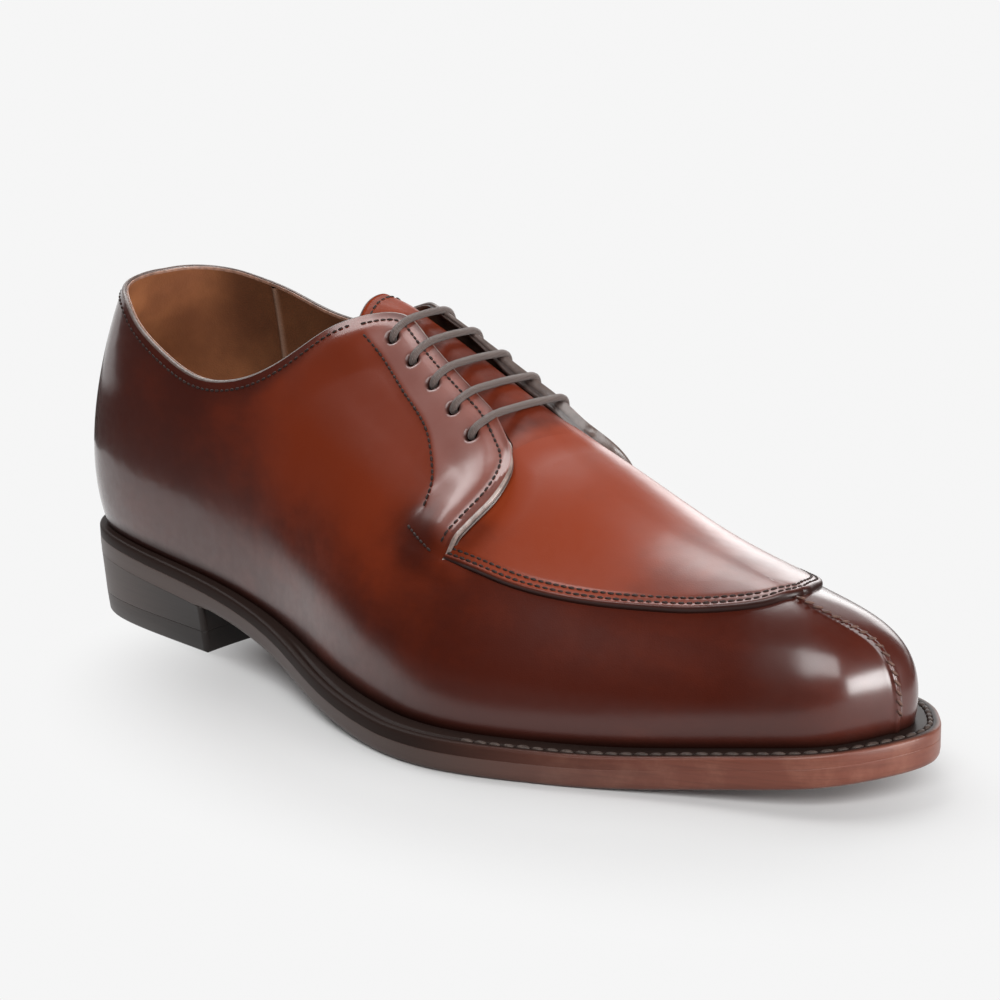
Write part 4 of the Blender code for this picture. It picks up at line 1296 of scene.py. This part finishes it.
# Lace
# One thin round waxed cord in five straight bars from eyelet to eyelet over the tongue.
# Each bar dips into the punched holes at both ends and is held by its pull on the facings.
LACE_RADIUS = 1.05
LACE_ARCH = 0.4
LACE_SEAT = 0.9
LACE_EDGE_INSET = 1.2
LACE_DIP = 2.4
LACE_LIP = 0.5
LACE_STEP = 0.5
LACE_BEND = 5
LACE_SIDES = 14
LACE_STRANDS = 8.0
LACE_TWIST = 2.2
LACE_GREY = (0.145, 0.106, 0.093)
LACE_DARK = (0.060, 0.042, 0.036)


def lace_finish():
    """Waxed cotton: slanting strands from the tube's own length and turn."""
    finish = Finish("waxed_cotton", roughness=0.55, specular=0.4)
    turn = finish.maths("MULTIPLY", finish.attribute("turn"), LACE_STRANDS)
    run = finish.maths("MULTIPLY", finish.attribute("along"), LACE_TWIST)
    strands = []
    for slant in ("ADD", "SUBTRACT"):
        strands.append(finish.maths("ABSOLUTE", finish.maths("SINE", finish.maths(slant, turn, run))))
    weave = finish.maths("MULTIPLY", *strands)
    finish.set("Base Color", finish.mix(finish.span(weave, 0.0, 0.8, 0.0, 1.0), LACE_DARK, LACE_GREY))
    finish.set("Normal", finish.relief(weave, 0.16))
    finish.set("Sheen Weight", 0.15)
    return finish.material


def run_length(path):
    """Length along a path at each of its points."""
    return np.concatenate([[0], np.cumsum(np.linalg.norm(np.diff(path, axis=0), axis=1))])


def tube(work, path, radius):
    """A round tube along a path, with its length in millimetres and turn in radians as attributes."""
    tangent = unit(np.gradient(path, axis=0))
    normal = unit(np.cross(tangent, (1.0, 0.0, 0.0)))
    other = np.cross(tangent, normal)
    angle = np.linspace(0, 2 * np.pi, LACE_SIDES + 1)
    ring = np.cos(angle)[None, :, None] * normal[:, None] + np.sin(angle)[None, :, None] * other[:, None]
    work.grid(path[:, None] + ring * radius, True, along=run_length(path)[:, None], turn=angle[None, :])


def rounded_path(corners, spacing, width):
    """Points at an even spacing along straight runs, with the corners rounded off."""
    length = run_length(corners)
    where = np.linspace(0, length[-1], int(length[-1] / spacing) + 1)
    return eased(np.column_stack([np.interp(where, length, corners[:, k]) for k in range(3)]), width)


def lace_end(side, number):
    """Corners of a bar from the bottom of its hole, over the facing, to the facing's front edge."""
    middles, outward = eyelet_places(side)
    eyelet = EYELETS[number]
    edge = top_level(side, eyelet.station) - LACE_EDGE_INSET / RIB_LENGTH
    level = np.array([(eyelet.level + edge) / 2, edge])
    station = np.full(2, eyelet.station)
    depth_top = below_top(side, station, level)
    lift = edge_lift(side, station, depth_top) + facing_valley(station, level)
    over = skin(side, station, level, FACING_RISE + LACE_SEAT + lift)
    hole = middles[number] - outward[number] * LACE_DIP
    return [hole, middles[number] + outward[number] * LACE_LIP, *over]


def lace():
    finish = lace_finish()
    for number in range(len(EYELETS)):
        near = lace_end(-1, number)
        far = lace_end(1, number)
        middle = (near[-1] + far[-1]) / 2 + (0, 0, LACE_ARCH)
        work = Patchwork("along", "turn")
        corners = np.array([*near, middle, *far[::-1]])
        tube(work, rounded_path(corners, LACE_STEP, LACE_BEND), LACE_RADIUS)
        work.build(f"lace_run_{number + 1}", finish, "waxed_lace", f"lace_bar_{number + 1}")


lace()


# Thread
# Waxed thread in single stitches: dark on the upper, thicker on the welt, slanting over the toe seam.
# Each row is sewn at an even pitch along the leather, one short thread after another.
THREAD_DARK = (0.026, 0.012, 0.009)
THREAD_TOE = (0.110, 0.055, 0.040)
THREAD_WELT = (0.058, 0.040, 0.033)
THREAD_SHADE = 0.55
Stitch = namedtuple("Stitch", "length width height seed")
UPPER_STITCH = Stitch(1.7, 0.75, 0.6, 3)
TOE_STITCH = Stitch(2.6, 0.8, 0.7, 5)
WELT_STITCH = Stitch(3.5, 1.6, 1.3, 7)
STITCH_SPREAD = (0.9, 1.1)
STITCH_RISE = 0.08
TOE_STITCH_RISE = 0.25
WELT_STITCH_RISE = 0.35
APRON_PITCH = 2.0
FACING_PITCH = 1.9
TOPLINE_PITCH = 2.1
WELT_PITCH = 3.7
TOE_STITCH_PITCH = 2.3
FACING_ROW_INSET = 3.0
TOPLINE_ROW_INSET = 2.3
TONGUE_ROW_INSET = 3.0
TOE_STITCH_SLANT = 0.9
WELT_ROW_START = 8.3
FOOT_ROW = (SeamRow(6.84, 0.474), SeamRow(7.32, 0.458))
FOOT_ROW_POINTS = 20
REAR_ROW_POINTS = 120
TOE_ROW_POINTS = 120
TOE_ROW_ENDS = (0.06, 0.02)
WELT_ROW_POINTS = 160
ROW_HEIGHT = 1.0
FACING_ROW_FROM = 5.3
FACING_ROW_FOOT = 5
FACING_ROW_INNER = 9
TOPLINE_ROW_TO = 5.25
TOPLINE_ROW_INNER = 6
TONGUE_ROW_INNER = 5
STITCH_HALF = 0.4
INSET_EASE = 7
SETTLE_POINTS = 6
SETTLE_SOFT = 0.05


def stitch_tree():
    """A short thread on each point, turned by the point's ahead and outward directions."""
    tree = bpy.data.node_groups.new("thread_rows", "GeometryNodeTree")
    tree.interface.new_socket("Geometry", in_out="INPUT", socket_type="NodeSocketGeometry")
    for label in ("Length", "Width", "Height"):
        tree.interface.new_socket(label, in_out="INPUT", socket_type="NodeSocketFloat")
    tree.interface.new_socket("Seed", in_out="INPUT", socket_type="NodeSocketInt")
    tree.interface.new_socket("Thread", in_out="INPUT", socket_type="NodeSocketMaterial")
    tree.interface.new_socket("Geometry", in_out="OUTPUT", socket_type="NodeSocketGeometry")
    link = tree.links.new
    given = tree.nodes.new("NodeGroupInput").outputs
    points = tree.nodes.new("GeometryNodeMeshToPoints")
    link(given["Geometry"], points.inputs["Mesh"])
    bead = tree.nodes.new("GeometryNodeMeshUVSphere")
    bead.inputs["Segments"].default_value = 8
    bead.inputs["Rings"].default_value = 5
    bead.inputs["Radius"].default_value = 0.5
    size = tree.nodes.new("ShaderNodeCombineXYZ")
    for axis, label in (("X", "Length"), ("Y", "Width"), ("Z", "Height")):
        link(given[label], size.inputs[axis])
    thread = tree.nodes.new("GeometryNodeTransform")
    link(bead.outputs["Mesh"], thread.inputs["Geometry"])
    link(size.outputs["Vector"], thread.inputs["Scale"])
    turned = None
    for axis, label in (("X", "ahead"), ("Z", "outward")):
        named = tree.nodes.new("GeometryNodeInputNamedAttribute")
        named.data_type = "FLOAT_VECTOR"
        named.inputs["Name"].default_value = label
        align = tree.nodes.new("FunctionNodeAlignRotationToVector")
        align.axis = axis
        link(named.outputs["Attribute"], align.inputs["Vector"])
        if turned:
            align.pivot_axis = "X"
            link(turned, align.inputs["Rotation"])
        turned = align.outputs["Rotation"]
    spread = tree.nodes.new("FunctionNodeRandomValue")
    spread.data_type = "FLOAT"
    floats = [socket for socket in spread.inputs if socket.type == "VALUE"]
    floats[0].default_value = STITCH_SPREAD[0]
    floats[1].default_value = STITCH_SPREAD[1]
    link(given["Seed"], spread.inputs["Seed"])
    laid = tree.nodes.new("GeometryNodeInstanceOnPoints")
    link(points.outputs["Points"], laid.inputs["Points"])
    link(thread.outputs["Geometry"], laid.inputs["Instance"])
    link(turned, laid.inputs["Rotation"])
    link([socket for socket in spread.outputs if socket.type == "VALUE"][0], laid.inputs["Scale"])
    real = tree.nodes.new("GeometryNodeRealizeInstances")
    link(laid.outputs["Instances"], real.inputs["Geometry"])
    painted = tree.nodes.new("GeometryNodeSetMaterial")
    link(real.outputs["Geometry"], painted.inputs["Geometry"])
    link(given["Thread"], painted.inputs["Material"])
    link(painted.outputs["Geometry"], tree.nodes.new("NodeGroupOutput").inputs["Geometry"])
    return tree


STITCH_TREE = stitch_tree()


def thread_finish(name, colour):
    finish = Finish(name, roughness=0.55, specular=0.25)
    patch = finish.patches(900.0)
    finish.set("Base Color", finish.mix(patch, colour, darkened(colour, THREAD_SHADE)))
    finish.set("Normal", finish.relief(finish.noise(2500.0, 2.0), 0.05))
    return finish.material


def stitch_row(path, outward, pitch, rise=STITCH_RISE):
    """Stitch middles along a path at an even pitch, with the thread's and the leather's directions."""
    length = run_length(path)
    count = max(int(length[-1] / pitch), 1)
    where = (np.arange(count) + 0.5) * length[-1] / count

    def along(values, place):
        return np.column_stack([np.interp(place, length, values[:, k]) for k in range(3)])

    ahead = unit(along(path, where + STITCH_HALF) - along(path, where - STITCH_HALF))
    facing = unit(along(outward, where))
    return along(path, where) + facing * rise, ahead, facing


def settle(points, surface, outward):
    """Moves points along the leather's outward direction onto a surface given as a cloud."""
    cloud = surface.reshape(-1, 3)
    facing = outward.reshape(-1, 3)
    placed = []
    directions = []
    for point in points:
        distance = np.linalg.norm(cloud - point, axis=1)
        near = np.argpartition(distance, SETTLE_POINTS)[:SETTLE_POINTS]
        weight = 1 / (distance[near] + SETTLE_SOFT) ** 2
        weight = weight / weight.sum()
        normal = unit(weight @ facing[near])
        placed.append(point + normal * (weight @ ((cloud[near] - point) @ normal)))
        directions.append(normal)
    return np.array(placed), np.array(directions)


def inset_path(edge, inner, outward, inset):
    """A path at an even distance inside an edge, with its corners rounded."""
    run = unit(np.gradient(edge, axis=0))
    inward = np.cross(outward, run)
    inward = inward * np.sign(np.sum(inward * (inner - edge), axis=1))[:, None]
    return edge + unit(eased(inward, INSET_EASE)) * inset


def thread_piece(name, rows, stitch, material):
    """Rows of stitches of one size and thread, kept as a plain mesh."""
    middles, ahead, outward = [np.vstack(part) for part in zip(*rows)]
    mesh = bpy.data.meshes.new(name)
    mesh.from_pydata(((middles - ORIGIN) * MM).tolist(), [], [])
    for label, held in (("ahead", ahead), ("outward", outward)):
        mesh.attributes.new(label, "FLOAT_VECTOR", "POINT").data.foreach_set("vector", held.ravel())
    piece = bpy.data.objects.new(name, mesh)
    modifier = piece.modifiers.new("stitches", "NODES")
    modifier.node_group = STITCH_TREE
    given = {"Length": stitch.length * MM, "Width": stitch.width * MM, "Height": stitch.height * MM,
             "Seed": stitch.seed, "Thread": material}
    for socket in STITCH_TREE.interface.items_tree:
        if socket.in_out == "INPUT" and socket.name in given:
            modifier[socket.identifier] = given[socket.name]
    bpy.context.scene.collection.objects.link(piece)
    graph = bpy.context.evaluated_depsgraph_get()
    made = bpy.data.meshes.new_from_object(piece.evaluated_get(graph))
    piece.modifiers.remove(modifier)
    piece.data = made
    made.shade_smooth()
    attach(piece, "root")


def upper_rows(side):
    """Rows on one side of the upper: apron edge, facing front, facing rear, topline and facing foot."""
    rows = []
    _, place, level, away = apron_places(side)
    surface = skin(side, place, level, apron_profile(away))
    facing = skin_normal(side, place, level)
    for distance in STITCH_ROWS:
        picked = [np.array([np.interp(distance, away[k], grid[k, :, axis]) for axis in range(3)])
                  for grid in (surface, facing) for k in range(len(away))]
        path, outward = np.split(np.array(picked), 2)
        rows.append(stitch_row(path, unit(outward), APRON_PITCH))
    columns = REAR_COLUMNS
    outer, _, station, level = quarter(side, columns, QUARTER_ROWS)
    facing = skin_normal(side, station, level)
    front = columns > FACING_ROW_FROM
    down = slice(-2, FACING_ROW_FOOT, -1)
    edge = np.concatenate([outer[front, -1], outer[-1, down]])
    inner = np.concatenate([outer[front, -FACING_ROW_INNER], outer[-FACING_ROW_INNER, down]])
    outward = np.concatenate([facing[front, -1], facing[-1, down]])
    path = inset_path(edge, inner, outward, FACING_ROW_INSET)
    rows.append(stitch_row(*settle(path, outer, facing), FACING_PITCH))
    table = np.array(REAR_ROW)
    where = np.linspace(0, len(table) - 1, REAR_ROW_POINTS)
    line = spline_at(table, spline_tangents(table, False), where, False)
    rows.append(stitch_row(*settle(skin(side, *line.T, ROW_HEIGHT), outer, facing), FACING_PITCH))
    back = columns < TOPLINE_ROW_TO
    inner = outer[back, -TOPLINE_ROW_INNER]
    path = inset_path(outer[back, -1], inner, facing[back, -1], TOPLINE_ROW_INSET)
    rows.append(stitch_row(*settle(path, outer, facing), TOPLINE_PITCH))
    line = np.linspace(*np.array(FOOT_ROW), FOOT_ROW_POINTS)
    rows.append(stitch_row(*settle(skin(side, *line.T, ROW_HEIGHT), outer, facing), FACING_PITCH))
    return rows


def tongue_rows(side):
    """The row along the tongue's free top."""
    place, level, offset, _ = tongue_outer()
    surface = skin(side, place, level, offset)
    facing = skin_normal(side, place, level)
    path = inset_path(surface[0], surface[TONGUE_ROW_INNER], facing[0], TONGUE_ROW_INSET)
    return [stitch_row(*settle(path, surface, facing), APRON_PITCH)]


def toe_rows():
    """Slanting stitches over the raised seam from the apron's tip down to the welt."""
    seam = table_curve(APRON_SEAM, float(TOE))
    levels = np.linspace(TOE_ROW_ENDS[0], seam - TOE_ROW_ENDS[1], TOE_ROW_POINTS)
    station = TOE - toe_seam_shift(levels)
    path = skin(-1, station, levels, TOE_SEAM_RISE - TOE_SEAM_GROOVE)
    middles, ahead, outward = stitch_row(path, skin_normal(-1, station, levels), TOE_STITCH_PITCH,
                                         TOE_STITCH_RISE)
    return [(middles, unit(ahead + TOE_STITCH_SLANT * np.cross(outward, ahead)), outward)]


def welt_rows():
    """Stitches in the welt's groove, from the outer ball round the toe to the inner ball."""
    columns = np.linspace(WELT_ROW_START, TOE, WELT_ROW_POINTS)
    paths = []
    for side in (-1, 1):
        line = edge_line(side, columns, WELT_GROOVE_INSET)
        height = sole_low(line[:, 0]) + OUTSOLE_THICK + WELT_THICK - WELT_GROOVE.depth
        paths.append(np.column_stack([line, height]))
    path = np.concatenate([paths[0], paths[1][-2::-1]])
    return [stitch_row(path, np.repeat([[0.0, 0.0, 1.0]], len(path), 0), WELT_PITCH, WELT_STITCH_RISE)]


SEWN_ROWS = upper_rows(-1) + upper_rows(1) + tongue_rows(-1) + tongue_rows(1)
thread_piece("upper_stitching", SEWN_ROWS, UPPER_STITCH, thread_finish("dark_thread", THREAD_DARK))
thread_piece("toe_seam_stitching", toe_rows(), TOE_STITCH, thread_finish("toe_thread", THREAD_TOE))
thread_piece("welt_stitching", welt_rows(), WELT_STITCH, thread_finish("welt_thread", THREAD_WELT))


# Stage
# A pale studio floor that sweeps up behind the shoe, lit by soft boxes.
# The camera keeps the photograph's angle to the shoe.
CAMERA_AZIMUTH = 46.0
CAMERA_ELEVATION = 13.7
CAMERA_DISTANCE = 612.0
CAMERA_ROLL = -1.5
CAMERA_TARGET = (154.0, 0.0, 40.0)
CAMERA_LENS = 78.98
CAMERA_SHIFT = (0.037, 0.039)
CAMERA_NEAR = 0.01
FLOOR_COLOUR = (0.56, 0.56, 0.56)
FLOOR_GLOW = 0.92
FLOOR_LIT = (0.055, 0.100)
FLOOR_LIT_STRETCH = 0.6
FLOOR_LIT_MIDDLE = (0.045, -0.02)
FLOOR_REACH = 16.0
FLOOR_DROP = (0.0, 0.0, -0.0005)
BOARD_REACH = (0.44, 0.168)
BOARD_POINTS = 96
BOARD_SQUARENESS = 0.5
SWEEP_START = 0.9
SWEEP_RADIUS = 1.2
SWEEP_REACH = 2.1
SWEEP_TURN = 84.0
SWEEP_STEPS = 15
SWEEP_WALL = 1.5
LAMP_AIM = (0.0, 0.0, 0.04)
ROOM_GREY = (0.03, 0.03, 0.03, 1.0)
SoftBox = namedtuple("SoftBox", "name azimuth elevation distance width height watts")
SOFT_BOXES = [
    SoftBox("front_box", 44.0, 40.0, 3.0, 3.3, 1.5, 106.0),
    SoftBox("toe_box", 105.0, 9.5, 3.0, 2.1, 0.9, 100.0),
    SoftBox("left_box", -84.0, 47.0, 3.0, 1.2, 1.4, 27.0),
    SoftBox("back_box", -137.0, 54.0, 3.0, 1.1, 1.1, 19.0),
    SoftBox("top_box", -108.0, 66.0, 3.0, 1.6, 1.0, 20.0),
    SoftBox("rim_box", -160.0, 15.0, 1.2, 0.9, 0.48, 3.0),
]


def direction(azimuth, elevation):
    """Unit vector towards an azimuth and elevation in degrees: azimuth 0 is along -Y, 90 along +X."""
    a = math.radians(azimuth)
    e = math.radians(elevation)
    return np.array([math.sin(a) * math.cos(e), -math.cos(a) * math.cos(e), math.sin(e)])


def floor_finish():
    """White paper that the lamps light near the shoe and that glows evenly farther out."""
    finish = Finish("pale_floor", roughness=0.9, specular=0.0)
    mapping = finish.tree.nodes.new("ShaderNodeMapping")
    x, y = FLOOR_LIT_MIDDLE
    mapping.inputs["Scale"].default_value = (FLOOR_LIT_STRETCH, 1.0, 1.0)
    mapping.inputs["Location"].default_value = (-FLOOR_LIT_STRETCH * x, -y, 0.0)
    finish.put(mapping.inputs["Vector"], finish.coordinates)
    length = finish.tree.nodes.new("ShaderNodeVectorMath")
    length.operation = "LENGTH"
    finish.put(length.inputs[0], mapping.outputs["Vector"])
    far = finish.span(length.outputs["Value"], *FLOOR_LIT, 0.0, 1.0)
    finish.set("Base Color", finish.mix(far, FLOOR_COLOUR, (0.0, 0.0, 0.0)))
    finish.set("Emission Color", (1.0, 1.0, 1.0, 1.0))
    finish.set("Emission Strength", finish.maths("MULTIPLY", far, FLOOR_GLOW))
    return finish.material


def stage_sheet(name, points, faces, material):
    mesh = bpy.data.meshes.new(name)
    mesh.from_pydata([tuple(point) for point in points], [], faces)
    mesh.shade_smooth()
    mesh.materials.append(material)
    sheet = bpy.data.objects.new(name, mesh)
    bpy.context.scene.collection.objects.link(sheet)
    return sheet


def floor():
    """A rounded board under the shoe, a wide floor that the polish doesn't show, and a sweep behind."""
    away = -direction(CAMERA_AZIMUTH, 0.0)
    right = direction(CAMERA_AZIMUTH + 90.0, 0.0)
    paper = floor_finish()
    turns = np.linspace(0, 2 * np.pi, BOARD_POINTS, endpoint=False)
    corner = np.column_stack([np.cos(turns), np.sin(turns)])
    corner = np.sign(corner) * np.abs(corner) ** BOARD_SQUARENESS * BOARD_REACH
    stage_sheet("studio_board", [(x, y, 0.0) for x, y in corner], [tuple(range(BOARD_POINTS))], paper)
    points = []
    for run, across in ((-1, -1), (-1, 1), (1, 1), (1, -1)):
        reach = FLOOR_REACH if run < 0 else SWEEP_START
        points.append(away * run * reach + right * across * FLOOR_REACH + FLOOR_DROP)
    sheet = stage_sheet("studio_floor", points, [(0, 1, 2, 3)], paper)
    sheet.visible_glossy = False
    sheet.visible_diffuse = False
    profile = []
    for angle in np.radians(np.linspace(0, SWEEP_TURN, SWEEP_STEPS)):
        profile.append((SWEEP_START + SWEEP_RADIUS * math.sin(angle), SWEEP_RADIUS * (1 - math.cos(angle))))
    profile.append((SWEEP_START + SWEEP_RADIUS, SWEEP_RADIUS + SWEEP_WALL))
    points = [away * run + right * across + np.array([0.0, 0.0, height]) + FLOOR_DROP
              for run, height in profile for across in (-SWEEP_REACH, SWEEP_REACH)]
    faces = [(2 * k, 2 * k + 1, 2 * k + 3, 2 * k + 2) for k in range(len(profile) - 1)]
    stage_sheet("studio_sweep", points, faces, paper)


def soft_box(box):
    """A rectangular lamp that looks at the middle of the shoe."""
    lamp = bpy.data.lights.new(box.name, "AREA")
    lamp.shape = "RECTANGLE"
    lamp.size = box.width
    lamp.size_y = box.height
    lamp.energy = box.watts
    holder = bpy.data.objects.new(box.name, lamp)
    toward = direction(box.azimuth, box.elevation)
    holder.rotation_euler = Vector(toward).to_track_quat("Z", "Y").to_euler()
    holder.location = Vector(LAMP_AIM + toward * box.distance)
    bpy.context.scene.collection.objects.link(holder)


def camera():
    back = direction(CAMERA_AZIMUTH, CAMERA_ELEVATION)
    right = direction(CAMERA_AZIMUTH + 90.0, 0.0)
    up = np.cross(back, right)
    roll = math.radians(CAMERA_ROLL)
    right, up = right * math.cos(roll) + up * math.sin(roll), up * math.cos(roll) - right * math.sin(roll)
    place = (np.array(CAMERA_TARGET) + back * CAMERA_DISTANCE - ORIGIN) * MM
    data = bpy.data.cameras.new("photo_camera")
    data.lens = CAMERA_LENS
    data.shift_x, data.shift_y = CAMERA_SHIFT
    data.clip_start = CAMERA_NEAR
    holder = bpy.data.objects.new("photo_camera", data)
    matrix = np.eye(4)
    matrix[:3] = np.column_stack([right, up, back, place])
    holder.matrix_world = Matrix(matrix.tolist())
    bpy.context.scene.collection.objects.link(holder)
    bpy.context.scene.camera = holder


floor()
for soft in SOFT_BOXES:
    soft_box(soft)
world = bpy.data.worlds.new("studio_room")
world.use_nodes = True
room = world.node_tree.nodes["Background"]
room.inputs["Color"].default_value = ROOM_GREY
room.inputs["Strength"].default_value = 1.0
bpy.context.scene.world = world
bpy.context.scene.view_settings.view_transform = "Standard"
camera()
